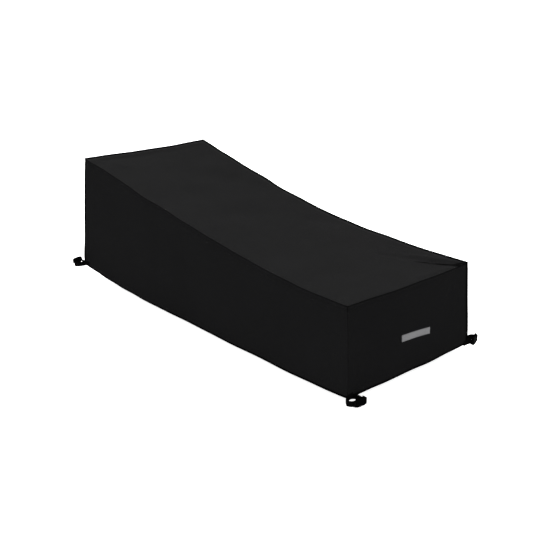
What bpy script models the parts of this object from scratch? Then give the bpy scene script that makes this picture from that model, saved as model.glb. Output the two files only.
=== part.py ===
"""Lounge chair cover: a hollow, flared cloth shell with a high head end, a top that slopes down to a
low foot end, a bare patch, and a buckled webbing loop at each hem corner.

Frame: metres, +Z up. X runs along the length, head end at -X and foot end at +X. The near side is -Y.
The origin is on the ground plane under the middle of the hem.
"""
import math

import bmesh
import bpy
import numpy
from mathutils import Matrix, Vector

COLLECTION = "lounge_chair_cover"

# Driving dimensions of the shell, metres.
HEM_LENGTH = 2.00
HEM_WIDTH = 0.75
HEAD_HEIGHT = 0.701
FOOT_HEIGHT = 0.40
HEAD_SETBACK = 0.094        # how far the head's top edge stands in from its hem
FOOT_SETBACK = 0.024
SIDE_SETBACK_HEAD = -0.007  # the long walls lean out a little at the head, and in at the foot
SIDE_SETBACK_FOOT = 0.012
HEAD_LEAN_POWER = 1.0       # above 1, a wall leans more towards its top
FOOT_LEAN_POWER = 1.3
UPRIGHT_SHARE = 0.08        # share of a wall's height, from the hem up, that hangs upright
SLOPE_POWER = 1.91          # how quickly the slope flattens towards the foot
NEAR_FULLNESS = 0.026       # the near top seam stands this much higher in mid-length
FULLNESS_SHARE = 0.86       # share of the length, from the head, over which it does
NEAR_CORNER_DROP = 0.012    # the near corner of the head's top edge hangs this much lower
DROP_SHARE = 0.12
TOP_SAG = 0.006             # the top sinks this much between its two long seams
HEM_HEIGHT = 0.028          # the long hems' height in mid-length
HEAD_HEM_LIFT = 0.050       # the hem is drawn up by this much at the head corners
HEAD_LIFT_POWER = 2.9
FOOT_HEM_LIFT = 0.012
FOOT_LIFT_POWER = 7.0
END_HEM_SAG = 0.0045        # the end hems dip this much in mid-width
HEAD_CORNER_ASIDE = 0.009   # the hem flares out sideways by this much at the head corners
ASIDE_POWER = 4
HEAD_CORNER_OUT = 0.014     # and endways by this much
OUT_POWER = 3

CLOTH = 0.002               # cloth and its coating
GAP = 0.0003                # clearance between pieces sewn to each other
SEAM_ROLL = 0.0015          # the top's edge is drawn down by this much at a seam
SEAM_ROLL_WIDTH = 0.010
FOLD_FADE = 0.030           # the top's folds fade out over this distance from its edges
SLOPE_STEP = 0.010          # distance over which the top's slope is measured

# The far top seam stands higher in two places: where, how far each rise reaches, and how high it is.
FAR_RISES = (
    # middle  to_head  to_foot  height
    (-0.470,  0.400,   0.290,   0.0122),
    (0.800,   0.300,   0.160,   0.0090),
)

# Panels: rows of faces each way, and how much the rows crowd towards the edges.
LONG_ROWS = (44, 0.45)
WIDTH_ROWS = (18, 0.85)
HEIGHT_ROWS = (8, 0.5)
PATCH_ROWS = (6, 2)

# Webbing, buckle and patch, metres.
WEB_WIDTH = 0.025
WEB_THICKNESS = 0.0016
WEB_SEAT = GAP + WEB_THICKNESS / 2 + 0.0004     # from a panel's face to the middle of webbing sewn on it
INNER_SEAT = -CLOTH - WEB_SEAT                  # the same, on the panel's inner face
BUCKLE_WIDTH = 0.033
BUCKLE_THICKNESS = 0.0084
BUCKLE_LENGTH = 0.0460
SOCKET_LENGTH = 0.0260
BAR = 0.0024                                    # the bar that webbing passes round, both ways
SLOT = 0.0040
SLOT_WIDTH = WEB_WIDTH + 0.0014
FRAME_LENGTH = BAR + SLOT
FRAME_TAPER = FRAME_LENGTH * 0.6                  # each end of the buckle narrows over this length
EDGE_ROUND = 0.0004
WELD = 0.00001
WALL = 0.0018                                   # the socket's wall
SIDE_WALL = 0.0027
WINDOW = (0.0105, 0.0205)                       # the socket's window runs between these
SHOULDER_INSET = (0.0006, 0.0014)               # the plug's shoulder, in from the buckle's faces and edges

# The plug's outline, one side: the rest is its mirror image.
PLUG_START = SOCKET_LENGTH + GAP
PLUG_TIP = FRAME_LENGTH + WALL + 0.0025
PLUG_SIDE = (
    # along                                  in from the buckle's edge
    (BUCKLE_LENGTH,                          0.0010),
    (BUCKLE_LENGTH - FRAME_TAPER,            0.0000),
    (BUCKLE_LENGTH - FRAME_LENGTH - 0.0015,  0.0000),
    (PLUG_START + 0.0010,                    0.0015),
    (PLUG_START,                             0.0045),
    (0.0200,                                 0.0045),
    (0.0190,                                 0.0015),
    (0.0140,                                 0.0015),
    (PLUG_TIP,                               0.0060),
    (PLUG_TIP,                               0.0085),
    (0.0180,                                 0.0080),
    (PLUG_START,                             0.0085),
    (PLUG_START,                             0.0143),
    (PLUG_TIP + 0.0010,                      0.0149),
)

PATCH_THICKNESS = 0.001
PATCH_LEFT_Y, PATCH_RIGHT_Y = -0.070, 0.110
PATCH_LEFT_Z = (0.177, 0.206)                   # lower and upper edge at the left end
PATCH_RIGHT_Z = (0.162, 0.191)

# Soft folds of the top panel: a straight line between two points, its half width and its height.
TOP_FOLDS = (
    # from_x  from_y   to_x    to_y   half_width  height
    (0.660,   0.176,   0.865,  0.266, 0.026,     -0.0055),      # crease from the far foot corner
    (0.865,   0.266,   0.970,  0.335, 0.018,     -0.0065),
    (0.760,   0.258,   0.935,  0.338, 0.024,      0.0040),      # ridge beside it
    (0.945,   0.080,   0.965,  0.290, 0.016,      0.0025),      # roll inside the foot edge
    (-0.872, -0.330,  -0.872,  0.330, 0.014,      0.0030),      # roll inside the head edge
    (-0.840, -0.300,  -0.830,  0.200, 0.022,     -0.0025),
    (-0.860, -0.345,  -0.720, -0.250, 0.022,      0.0030),      # pull from the near head corner
    (-0.030, -0.060,   0.030,  0.060, 0.060,     -0.0040),      # shallow dips in mid-length
    (0.170,   0.235,   0.260,  0.300, 0.045,     -0.0045),
    (-0.480,  0.180,  -0.300,  0.260, 0.060,     -0.0040),
)

# Soft folds of the walls: place along the wall, low and high end as shares of its height, and size.
SIDE_FOLDS_NEAR = (
    # along   lean    low   high  half_width  depth
    (-0.700,  0.060, 0.55,  0.97, 0.110,      -0.0045),         # hollow under the head end of the top seam
    (-0.420,  0.040, 0.10,  0.80, 0.120,       0.0040),
    (-0.080, -0.030, 0.05,  0.75, 0.140,      -0.0035),
    (0.280,   0.030, 0.00,  0.70, 0.130,       0.0045),
    (0.620,  -0.030, 0.10,  0.85, 0.110,      -0.0030),
)
SIDE_FOLDS_FAR = (
    (-0.620, -0.050, 0.25,  0.95, 0.120,      -0.0040),
    (-0.300,  0.030, 0.05,  0.75, 0.130,       0.0045),
    (0.060,  -0.020, 0.10,  0.80, 0.120,      -0.0030),
    (0.400,   0.030, 0.00,  0.75, 0.130,       0.0040),
    (0.700,   0.020, 0.15,  0.85, 0.090,      -0.0030),
)
END_FOLDS_HEAD = (
    (-0.120,  0.030, 0.15,  0.90, 0.090,      -0.0040),
    (0.140,  -0.020, 0.10,  0.85, 0.080,       0.0035),
)
END_FOLDS_FOOT = (
    (-0.150,  0.020, 0.20,  0.85, 0.070,       0.0025),
    (0.060,  -0.020, 0.15,  0.85, 0.080,      -0.0025),
    (0.250,   0.040, 0.35,  0.98, 0.050,      -0.0030),
)

# Cloth and fittings: colour, roughness, metallic.
TOP_CLOTH = ((0.020, 0.020, 0.021), 0.85, 0.0)
SIDE_CLOTH = ((0.010, 0.010, 0.011), 0.88, 0.0)
END_CLOTH = ((0.012, 0.012, 0.013), 0.88, 0.0)
WEBBING = ((0.008, 0.008, 0.009), 0.80, 0.0)
PLASTIC = ((0.012, 0.012, 0.012), 0.42, 0.0)
PATCH = ((0.130, 0.130, 0.132), 0.60, 0.0)

HALF_LENGTH = HEM_LENGTH / 2
HALF_WIDTH = HEM_WIDTH / 2
HEAD_TOP_X = -HALF_LENGTH + HEAD_SETBACK
FOOT_TOP_X = HALF_LENGTH - FOOT_SETBACK

# Where a wall's folds fade: shares of its height at the low and high end, and metres at its upright edges.
FADE_LOW = 0.30
FADE_HIGH = 0.25
FADE_TOP = 0.06
FADE_EDGE = 0.12


def smooth(share):
    """Soft step from 0 to 1."""
    share = min(max(share, 0.0), 1.0)
    return share * share * (3 - 2 * share)


def mix(low, high, share):
    return low + (high - low) * share


def length_share(x):
    """Share of the top's length from the head edge, 0, to the foot edge, 1."""
    return min(max((x - HEAD_TOP_X) / (FOOT_TOP_X - HEAD_TOP_X), 0.0), 1.0)


def top_half_width(x):
    return HALF_WIDTH - mix(SIDE_SETBACK_HEAD, SIDE_SETBACK_FOOT, length_share(x))


def hem_half_width(x):
    """Half width of the hem line at a place along the length: wider at the head corners."""
    return HALF_WIDTH + HEAD_CORNER_ASIDE * min(max(-x / HALF_LENGTH, 0.0), 1.0) ** ASIDE_POWER


def hem_reach(direction, y):
    """How far out an end's hem lies: the head's hem bows out towards its corners."""
    corner_out = HEAD_CORNER_OUT if direction < 0 else 0.0
    corner_y = hem_half_width(direction * HALF_LENGTH)
    return HALF_LENGTH + corner_out * min(abs(y) / corner_y, 1.0) ** OUT_POWER


# ---------------------------------------------------------------- the shell's shape

def fold_height(x, y):
    """Sum of the top's soft folds at a point of its plan."""
    total = 0.0
    for from_x, from_y, to_x, to_y, half_width, height in TOP_FOLDS:
        run = Vector((to_x - from_x, to_y - from_y))
        offset = Vector((x - from_x, y - from_y))
        share = min(max(offset.dot(run) / run.length_squared, 0.0), 1.0)
        distance = (offset - run * share).length
        total += height * math.exp(-(distance / half_width) ** 2)
    return total


def far_rise(x):
    total = 0.0
    for middle, to_head, to_foot, height in FAR_RISES:
        reach = to_head if x < middle else to_foot
        total += height * math.exp(-((x - middle) / reach) ** 2)
    return total


def seam_height(x, near):
    """Height of a long top seam; near is 1 at the near seam and 0 at the far one."""
    share = length_share(x)
    slope = FOOT_HEIGHT + (HEAD_HEIGHT - FOOT_HEIGHT) * (1 - share) ** SLOPE_POWER
    fullness = NEAR_FULLNESS * math.sin(math.pi * min(share / FULLNESS_SHARE, 1.0))
    near_part = fullness - NEAR_CORNER_DROP * (1 - smooth(share / DROP_SHARE))
    return slope + near * near_part + (1 - near) * far_rise(x)


def top_height(x, y):
    """Outer face of the top panel over a point of its plan."""
    half_width = top_half_width(x)
    across = min(max(y / half_width, -1.0), 1.0)
    inner = min(half_width - abs(y), x - HEAD_TOP_X, FOOT_TOP_X - x)
    height = seam_height(x, (1 - across) / 2) - TOP_SAG * (1 - across ** 2)
    height += fold_height(x, y) * smooth(inner / FOLD_FADE)
    return height - SEAM_ROLL * (1 - smooth(inner / SEAM_ROLL_WIDTH))


def under_top(x, y, inward):
    """Where a wall's upper edge ends, clear of the top panel's underside over the wall's own thickness."""
    along = Vector((-inward.y, inward.x))
    here = top_height(x, y)
    into = (top_height(x + inward.x * SLOPE_STEP, y + inward.y * SLOPE_STEP) - here) / SLOPE_STEP
    aside = (top_height(x + along.x * SLOPE_STEP, y + along.y * SLOPE_STEP) - here) / SLOPE_STEP
    return here - CLOTH * (math.sqrt(1 + into ** 2 + aside ** 2) + max(-into, 0.0)) - GAP


def side_hem_height(x):
    lift, power = (HEAD_HEM_LIFT, HEAD_LIFT_POWER) if x < 0 else (FOOT_HEM_LIFT, FOOT_LIFT_POWER)
    return HEM_HEIGHT + lift * min(abs(x / HALF_LENGTH), 1.0) ** power


def end_hem_height(direction, y):
    sag = END_HEM_SAG * max(1 - (y / HALF_WIDTH) ** 2, 0.0)
    return side_hem_height(direction * HALF_LENGTH) - sag


def setback(share, along_share):
    """How much of its setback a wall has reached at a share of its height and of the length."""
    power = mix(HEAD_LEAN_POWER, FOOT_LEAN_POWER, along_share)
    return (max(share - UPRIGHT_SHARE, 0.0) / (1 - UPRIGHT_SHARE)) ** power


def wall_fold(folds, along, share, reach):
    """Sum of a wall's soft folds, fading out at its hem corners and at its upright edges."""
    total = 0.0
    for place, lean, low, high, half_width, depth in folds:
        middle = place + lean * (share - 0.5)
        fade = smooth((share - low) / FADE_LOW + 0.5) * smooth((high - share) / FADE_HIGH + 0.2)
        total += depth * fade * math.exp(-((along - middle) / half_width) ** 2)
    return total * smooth((reach - abs(along)) / FADE_EDGE) * smooth((1 - share) / FADE_TOP)


def side_point(folds, direction, along_share, height_share):
    """A point of a long wall's outer face; direction is -1 on the near side and 1 on the far one."""
    lean = setback(height_share, along_share)
    hem_x = mix(-HALF_LENGTH - HEAD_CORNER_OUT, HALF_LENGTH, along_share)
    top_x = mix(HEAD_TOP_X, FOOT_TOP_X, along_share)
    low = side_hem_height(hem_x)
    high = under_top(top_x, direction * top_half_width(top_x), Vector((0.0, -direction)))
    y = mix(hem_half_width(hem_x), top_half_width(top_x), lean)
    y += wall_fold(folds, hem_x, height_share, HALF_LENGTH)
    return Vector((mix(hem_x, top_x, lean), direction * y, mix(low, high, height_share)))


def end_point(folds, direction, width_share, height_share):
    """A point of an end wall's outer face; direction is -1 at the head and 1 at the foot."""
    lean = setback(height_share, 0.0 if direction < 0 else 1.0)
    top_x = HEAD_TOP_X if direction < 0 else FOOT_TOP_X
    corner_y = hem_half_width(direction * HALF_LENGTH)
    # The bowed head wall's inner face reaches further aside than its outer one.
    bow = OUT_POWER * (hem_reach(direction, corner_y) - HALF_LENGTH) / corner_y
    reach = mix(corner_y, top_half_width(top_x), lean) - CLOTH * (1 + bow) - GAP
    y = mix(-reach, reach, width_share)
    low = end_hem_height(direction, y)
    high = under_top(top_x, y, Vector((-direction, 0.0)))
    out = mix(hem_reach(direction, y), abs(top_x), lean) + wall_fold(folds, y, height_share, HALF_WIDTH)
    return Vector((direction * out, y, mix(low, high, height_share)))


# ---------------------------------------------------------------- making and finishing objects

def new_material(name, finish):
    colour, roughness, metallic = finish
    material = bpy.data.materials.new(name)
    material.use_nodes = True
    shader = material.node_tree.nodes["Principled BSDF"]
    shader.inputs["Base Color"].default_value = (*colour, 1.0)
    shader.inputs["Roughness"].default_value = roughness
    shader.inputs["Metallic"].default_value = metallic
    material.diffuse_color = (*colour, 1.0)
    return material


def add_object(name, mesh, collection, material=None):
    thing = bpy.data.objects.new(name, mesh)
    collection.objects.link(thing)
    if material is not None:
        mesh.materials.clear()
        mesh.materials.append(material)
    return thing


def eased(count, ease):
    """Shares from 0 to 1 that crowd towards both ends; ease 0 spaces them evenly."""
    evenly = [index / count for index in range(count + 1)]
    return [mix(even, 0.5 - 0.5 * math.cos(math.pi * even), ease) for even in evenly]


def add_sheet(name, collection, finish, place, shares, thickness, offset, smooth_angle=40):
    """A grid whose points are placed by a function, given its thickness by Solidify."""
    columns, rows = shares
    mesh = bpy.data.meshes.new(name)
    grid = bmesh.new()
    bmesh.ops.create_grid(grid, x_segments=len(columns) - 1, y_segments=len(rows) - 1, size=1.0)
    for vertex in grid.verts:
        column = round((vertex.co.x + 1) / 2 * (len(columns) - 1))
        row = round((vertex.co.y + 1) / 2 * (len(rows) - 1))
        vertex.co = place(columns[column], rows[row])
    grid.to_mesh(mesh)
    grid.free()
    mesh.shade_smooth()
    mesh.set_sharp_from_angle(angle=math.radians(smooth_angle))
    sheet = add_object(name, mesh, collection, new_material(name, finish))
    solid = sheet.modifiers.new("thickness", "SOLIDIFY")
    solid.thickness = thickness
    solid.offset = offset
    solid.use_even_offset = True
    return sheet


def build_panels(collection):
    """The five panels: each one sheet, shaped by the functions above, 0.3 mm clear of its neighbours."""
    long_shares = eased(*LONG_ROWS)
    width_shares = eased(*WIDTH_ROWS)
    height_shares = eased(*HEIGHT_ROWS)

    def top_point(along_share, width_share):
        x = mix(HEAD_TOP_X, FOOT_TOP_X, along_share)
        y = mix(-top_half_width(x), top_half_width(x), width_share)
        return Vector((x, y, top_height(x, y)))

    def near_point(along_share, height_share):
        return side_point(SIDE_FOLDS_NEAR, -1, along_share, height_share)

    def far_point(along_share, height_share):
        return side_point(SIDE_FOLDS_FAR, 1, 1 - along_share, height_share)

    def head_point(width_share, height_share):
        return end_point(END_FOLDS_HEAD, -1, 1 - width_share, height_share)

    def foot_point(width_share, height_share):
        return end_point(END_FOLDS_FOOT, 1, width_share, height_share)

    add_sheet("top_panel", collection, TOP_CLOTH, top_point, (long_shares, width_shares), CLOTH, -1)
    walls = (
        ("side_panel_near", SIDE_CLOTH, near_point, long_shares),
        ("side_panel_far", SIDE_CLOTH, far_point, long_shares),
        ("head_panel", END_CLOTH, head_point, width_shares),
        ("foot_panel", END_CLOTH, foot_point, width_shares),
    )
    for name, finish, place, shares in walls:
        add_sheet(name, collection, finish, place, (shares, height_shares), CLOTH, -1)


def build_patch(collection):
    """The bare patch, laid on the foot panel's outer face and following it."""
    low = end_hem_height(1, 0.0)
    high = under_top(FOOT_TOP_X, 0.0, Vector((-1.0, 0.0)))
    reach = HALF_WIDTH - CLOTH - GAP
    clear = 2 * GAP

    def patch_point(across, up):
        y = mix(PATCH_LEFT_Y, PATCH_RIGHT_Y, across)
        left_z = mix(*PATCH_LEFT_Z, up)
        z = mix(left_z, left_z + PATCH_RIGHT_Z[0] - PATCH_LEFT_Z[0], across)
        face = end_point(END_FOLDS_FOOT, 1, (y / reach + 1) / 2, (z - low) / (high - low))
        return Vector((face.x + clear, y, z))

    columns, rows = PATCH_ROWS
    add_sheet("label_patch", collection, PATCH, patch_point, (eased(columns, 0), eased(rows, 0)),
              PATCH_THICKNESS, 1)


# ---------------------------------------------------------------- corner straps

class Corner:
    """A hem corner: plan offsets out past the end panel (dx) and out past the side panel (dy)."""

    def __init__(self, name, end, side, low, lift, swing, routes):
        self.name = name
        self.end = end
        self.side = side
        self.hem_z = side_hem_height(end * HALF_LENGTH)
        self.low = low
        self.lift = lift
        self.swing = swing
        self.routes = routes
        self.start = Vector(self.swung(*routes["buckle_from"]))
        self.axis = (Vector(self.swung(*routes["buckle_to"])) - self.start).normalized()

    def swung(self, dx, dy):
        """The loop's own lean: its free parts lean further out past the end the further they stand aside."""
        return dx + self.swing * max(dy - WEB_SEAT, 0.0), dy

    def world(self, dx, dy, height):
        """A point given by its offsets from the hem line, and its height over the hem's corner."""
        corner_y = hem_half_width(self.end * HALF_LENGTH)
        corner_x = hem_reach(self.end, corner_y)
        x = hem_reach(self.end, corner_y + dy) + dx
        y = hem_half_width(self.end * (corner_x + dx)) + dy
        return Vector((self.end * x, self.side * y, self.hem_z + height))

    def at_buckle(self, along, aside):
        """Plan offsets of a point given along the buckle's axis and to its loop's outer side."""
        outer = Vector((self.axis.y, -self.axis.x))
        if outer.dot(self.start + self.axis * BUCKLE_LENGTH / 2) < 0:
            outer = -outer
        return self.start + self.axis * along + outer * aside


# Each loop's routes, in metres from the hem's corner: out past the end, out past the side, bend radius
# and height of the webbing's lower edge, which a corner's lift adds to. The short strap runs from its sewn
# end to the socket, the long one from its sewn end to the plug, and the tail from the plug to the long
# strap's free end; the tail's heights count from the buckle's.
FOLDED = {
    "buckle_from": (0.0217, -0.0180),
    "buckle_to": (0.0310, -0.0620),
    "short": (
        (WEB_SEAT, -0.0260, 0.0, -0.0055),
        (WEB_SEAT, 0.0125, 0.0032, -0.0110),
        (0.0082, 0.0125, 0.0032, -0.0230),
        (0.0160, -0.0045, 0.0060, -0.0300),
    ),
    "long": (
        (INNER_SEAT, -0.0200, 0.0, -0.0100),
        (INNER_SEAT, -0.0420, 0.0, -0.0170),
        (INNER_SEAT, -0.0600, 0.0050, -0.0290),
        (0.0190, -0.0615, 0.0060, -0.0310),
    ),
    "tail": (
        (0.0340, -0.0700, 0.0030, 0.0010),
        (0.0140, -0.0665, 0.0, 0.0030),
    ),
}
OUTWARD = {
    "buckle_from": (0.0185, 0.0120),
    "buckle_to": (0.0080, 0.0560),
    "short": (
        (WEB_SEAT, -0.0270, 0.0, -0.0055),
        (WEB_SEAT, 0.0040, 0.0060, -0.0055),
        (0.0105, 0.0080, 0.0060, -0.0010),
    ),
    "long": (
        (-0.0540, WEB_SEAT, 0.0, -0.0055),
        (-0.0250, WEB_SEAT, 0.0070, -0.0055),
        (-0.0215, 0.0500, 0.0100, -0.0030),
        (-0.0080, 0.0635, 0.0060, -0.0030),
    ),
    "tail": (
        (0.0065, 0.0660, 0.0040, 0.0030),
        (-0.0110, 0.0690, 0.0, 0.0060),
    ),
}
CORNERS = (
    # name       end side  buckle's height  lift    swing  routes
    ("foot_near", 1, -1,  -0.0310,          0.000,   0.00,  FOLDED),
    ("foot_far",  1,  1,  -0.0040,          0.000,   0.00,  OUTWARD),
    ("head_near", -1, -1,  0.0170,          0.005,   0.04,  OUTWARD),
    ("head_far",  -1,  1,  0.0060,          0.003,  -0.08,  OUTWARD),
)

LAYER = BAR / 2 + GAP + WEB_THICKNESS / 2       # from the bar's middle to the middle of webbing beside it
LAYERS_APART = WEB_THICKNESS + 2 * GAP
TURN_RADIUS = 0.0015
BAR_CLEAR = 0.004                               # webbing runs straight past the bar for this length
SEWN_BACK = 0.009                               # where the short strap's end is sewn down on it
LEAD_BEND = 0.004
STRAIGHT_TURN = math.radians(4)                 # smaller turns get no arc
ARC_STEP = math.radians(60)                     # two faces for each such part of an arc
BEND_SHARE = 0.48                               # share of the run beside it that a bend may take
RUN_STEP = 0.008                                # longest face on a straight run


def bar_turn(corner, at_socket):
    """The webbing's way round a bar: in on the inner side, through the slot, out on the outer side."""
    bar_middle = BAR / 2 if at_socket else BUCKLE_LENGTH - BAR / 2
    inward = 1 if at_socket else -1

    def row(beyond, aside, bend):
        return (*corner.at_buckle(bar_middle - inward * beyond, aside), bend, corner.low)

    turn = [
        row(BAR_CLEAR, -LAYER, LEAD_BEND / 2),
        row(-LAYER, -LAYER, TURN_RADIUS),
        row(-LAYER, LAYER, TURN_RADIUS),
        row(BAR_CLEAR, LAYER, LEAD_BEND),
    ]
    if at_socket:
        turn.append(row(SEWN_BACK, LAYERS_APART, 0.0))
    return turn


def rounded(route):
    """A route's rows as points with an arc at each bend, the height changing evenly from row to row."""
    points = []
    middles = []
    for index, (dx, dy, bend, _) in enumerate(route):
        here = Vector((dx, dy))
        turn = 0.0
        if bend > 0.0 and 0 < index < len(route) - 1:
            before = Vector(route[index - 1][:2]) - here
            after = Vector(route[index + 1][:2]) - here
            turn = math.pi - before.angle(after)
        if turn < STRAIGHT_TURN:
            middles.append(len(points))
            points.append(here)
            continue
        cut = min(bend * math.tan(turn / 2), before.length * BEND_SHARE, after.length * BEND_SHARE)
        radius = cut / math.tan(turn / 2)
        centre = here + (before.normalized() + after.normalized()).normalized() * radius / math.cos(turn / 2)
        first = here + before.normalized() * cut - centre
        spin = first.angle_signed(here + after.normalized() * cut - centre)
        half_steps = math.ceil(turn / ARC_STEP)
        middles.append(len(points) + half_steps)
        for step in range(2 * half_steps + 1):
            points.append(centre + Matrix.Rotation(-spin * step / (2 * half_steps), 2) @ first)
    run = numpy.cumsum([0.0] + [(two - one).length for one, two in zip(points, points[1:])])
    row_runs = [run[middle] for middle in middles]
    filled = []
    for start, end, one, two in zip(run, run[1:], points, points[1:]):
        parts = math.ceil((end - start) / RUN_STEP)
        for part in range(parts):
            filled.append((one.lerp(two, part / parts), mix(start, end, part / parts)))
    filled.append((points[-1], run[-1]))
    return [(place, numpy.interp(at, row_runs, [row[3] for row in route])) for place, at in filled]


def add_webbing(name, collection, corner, route):
    """Webbing on edge: a strip along the route, as tall as the webbing is wide, then thickened."""
    points = rounded(route)

    def web_point(column, up):
        place, height = points[column]
        return corner.world(place.x, place.y, height + WEB_WIDTH * up)

    columns = list(range(len(points)))
    return add_sheet(name, collection, WEBBING, web_point, (columns, [0.0, 1.0]), WEB_THICKNESS, 0, 60)


def strap_route(corner, at_socket):
    """Whole route of one strap: sewn flat, then free, then round the bar, and the long one's free end."""
    def laid(rows, base):
        return [(*corner.swung(dx, dy), bend, base + height) for dx, dy, bend, height in rows]

    rows = laid(corner.routes["short" if at_socket else "long"], corner.lift) + bar_turn(corner, at_socket)
    return rows if at_socket else rows + laid(corner.routes["tail"], corner.low)


# ---------------------------------------------------------------- buckles

def add_block(name, collection, low, high):
    """A box between two corners, with its size in the mesh."""
    mesh = bpy.data.meshes.new(name)
    block = bmesh.new()
    bmesh.ops.create_cube(block, size=1.0)
    low, high = Vector(low), Vector(high)
    for vertex in block.verts:
        vertex.co = (low + high) / 2 + Vector(c * s for c, s in zip(vertex.co, high - low))
    block.to_mesh(mesh)
    block.free()
    return add_object(name, mesh, collection)


def add_outline(name, collection, outlines, half_thickness):
    """A flat plate from closed outlines in the buckle's length and width, the later ones being holes."""
    curve = bpy.data.curves.new(name, "CURVE")
    curve.dimensions = "2D"
    curve.fill_mode = "BOTH"
    curve.extrude = half_thickness
    for outline in outlines:
        spline = curve.splines.new("POLY")
        spline.points.add(len(outline) - 1)
        for point, (along, across) in zip(spline.points, outline):
            point.co = (along, across, 0.0, 1.0)
        spline.use_cyclic_u = True
    flat = bpy.data.objects.new(name + "_outline", curve)
    collection.objects.link(flat)
    bpy.context.view_layer.update()
    evaluated = flat.evaluated_get(bpy.context.evaluated_depsgraph_get())
    mesh = bpy.data.meshes.new_from_object(evaluated)
    weld = bmesh.new()
    weld.from_mesh(mesh)
    bmesh.ops.remove_doubles(weld, verts=weld.verts, dist=WELD)
    # The outline lies in length and width: stand it up so that its width is vertical.
    bmesh.ops.rotate(weld, verts=weld.verts, cent=(0, 0, 0), matrix=Matrix.Rotation(math.pi / 2, 3, "X"))
    weld.to_mesh(mesh)
    weld.free()
    bpy.data.objects.remove(flat)
    return add_object(name, mesh, collection)


def join(target, other, operation):
    cut = target.modifiers.new(operation.lower(), "BOOLEAN")
    cut.operation = operation
    cut.solver = "EXACT"
    cut.object = other
    other.hide_render = True
    other.display_type = "WIRE"


def baked(thing, name, round_width):
    """The evaluated, edge-rounded mesh of an object, to be shared by its copies; its makings are removed."""
    edges = thing.modifiers.new("edges", "BEVEL")
    edges.width = round_width
    edges.segments = 1
    edges.limit_method = "ANGLE"
    edges.angle_limit = math.radians(40)
    bpy.context.view_layer.update()
    evaluated = thing.evaluated_get(bpy.context.evaluated_depsgraph_get())
    mesh = bpy.data.meshes.new_from_object(evaluated)
    mesh.name = name
    mesh.shade_smooth()
    mesh.set_sharp_from_angle(angle=math.radians(30))
    for making in list(thing.users_collection[0].objects):
        bpy.data.objects.remove(making, do_unlink=True)
    return mesh


def mirrored(half):
    """A closed outline from its upper half, listed from one end to the other."""
    return list(half) + [(along, -across) for along, across in reversed(half)]


def socket_mesh(cutters):
    """Socket: a flat sleeve open to the plug, with a window in each edge and a bar for the webbing."""
    half_width = BUCKLE_WIDTH / 2
    half_thick = BUCKLE_THICKNESS / 2
    plate = mirrored([
        (0.0, half_width - PLUG_SIDE[0][1]),
        (FRAME_TAPER, half_width),
        (FRAME_LENGTH + WALL, half_width),
    ])
    slot = mirrored([(BAR, SLOT_WIDTH / 2), (BAR + SLOT, SLOT_WIDTH / 2)])
    frame = add_outline("socket_frame", cutters, (plate, slot), BAR / 2)
    sleeve = add_block("socket_sleeve", cutters, (FRAME_LENGTH, -half_thick, -half_width),
                       (SOCKET_LENGTH, half_thick, half_width))
    mouth = add_block("socket_mouth", cutters,
                      (FRAME_LENGTH + WALL, -half_thick + WALL, -half_width + SIDE_WALL),
                      (SOCKET_LENGTH + WALL, half_thick - WALL, half_width - SIDE_WALL))
    window = add_block("socket_window", cutters, (WINDOW[0], -half_thick + WALL, -half_width - WALL),
                       (WINDOW[1], half_thick - WALL, half_width + WALL))
    join(sleeve, frame, "UNION")
    join(sleeve, mouth, "DIFFERENCE")
    join(sleeve, window, "DIFFERENCE")
    return baked(sleeve, "buckle_socket", EDGE_ROUND)


def plug_mesh(cutters):
    """Plug: a shoulder with a webbing bar at one end and, at the other, two sprung arms and a guide."""
    half_width = BUCKLE_WIDTH / 2
    half_thick = BUCKLE_THICKNESS / 2
    face_inset, edge_inset = SHOULDER_INSET
    shoulder_end = BUCKLE_LENGTH - FRAME_LENGTH - 2 * EDGE_ROUND
    plate = mirrored([(along, half_width - inset) for along, inset in PLUG_SIDE])
    bar_start = BUCKLE_LENGTH - BAR
    slot = mirrored([(bar_start - SLOT, SLOT_WIDTH / 2), (bar_start, SLOT_WIDTH / 2)])
    arms = add_outline("plug_plate", cutters, (plate, slot), BAR / 2)
    shoulder = add_block("plug_shoulder", cutters,
                         (PLUG_START, -half_thick + face_inset, -half_width + edge_inset),
                         (shoulder_end, half_thick - face_inset, half_width - edge_inset))
    join(arms, shoulder, "UNION")
    return baked(arms, "buckle_plug", EDGE_ROUND)


def build_straps(collection, cutters):
    socket = socket_mesh(cutters)
    plug = plug_mesh(cutters)
    socket.materials.append(new_material("buckle_socket", PLASTIC))
    plug.materials.append(new_material("buckle_plug", PLASTIC))
    for row in CORNERS:
        corner = Corner(*row)
        add_webbing("strap_short_" + corner.name, collection, corner, strap_route(corner, True))
        add_webbing("strap_long_" + corner.name, collection, corner, strap_route(corner, False))
        start = corner.world(*corner.start, corner.low + WEB_WIDTH / 2)
        tip = corner.world(*(corner.start + corner.axis * BUCKLE_LENGTH), corner.low + WEB_WIDTH / 2)
        heading = tip - start
        for label, mesh in (("buckle_socket_", socket), ("buckle_plug_", plug)):
            half = add_object(label + corner.name, mesh, collection)
            half.location = start
            half.rotation_euler.z = math.atan2(heading.y, heading.x)


def main():
    for thing in list(bpy.data.objects):
        bpy.data.objects.remove(thing, do_unlink=True)
    collection = bpy.data.collections.new(COLLECTION)
    cutters = bpy.data.collections.new("cutters")
    bpy.context.scene.collection.children.link(collection)
    bpy.context.scene.collection.children.link(cutters)
    build_panels(collection)
    build_patch(collection)
    build_straps(collection, cutters)


main()
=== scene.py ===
# %% [markdown]
# # Dressing a lounge chair cover
# The real object is a fitted cover of thin black coated cloth: five panels sewn into a hollow shell with a
# high head end, a top that sweeps down to a low foot end, a bare patch on the foot panel, and a loop of
# black webbing with a side-release buckle at each corner of the hem.
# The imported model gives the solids. This lesson lays finer cloth, seams, stitches and webbing on them.

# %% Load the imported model
import math
from functools import partial

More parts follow.
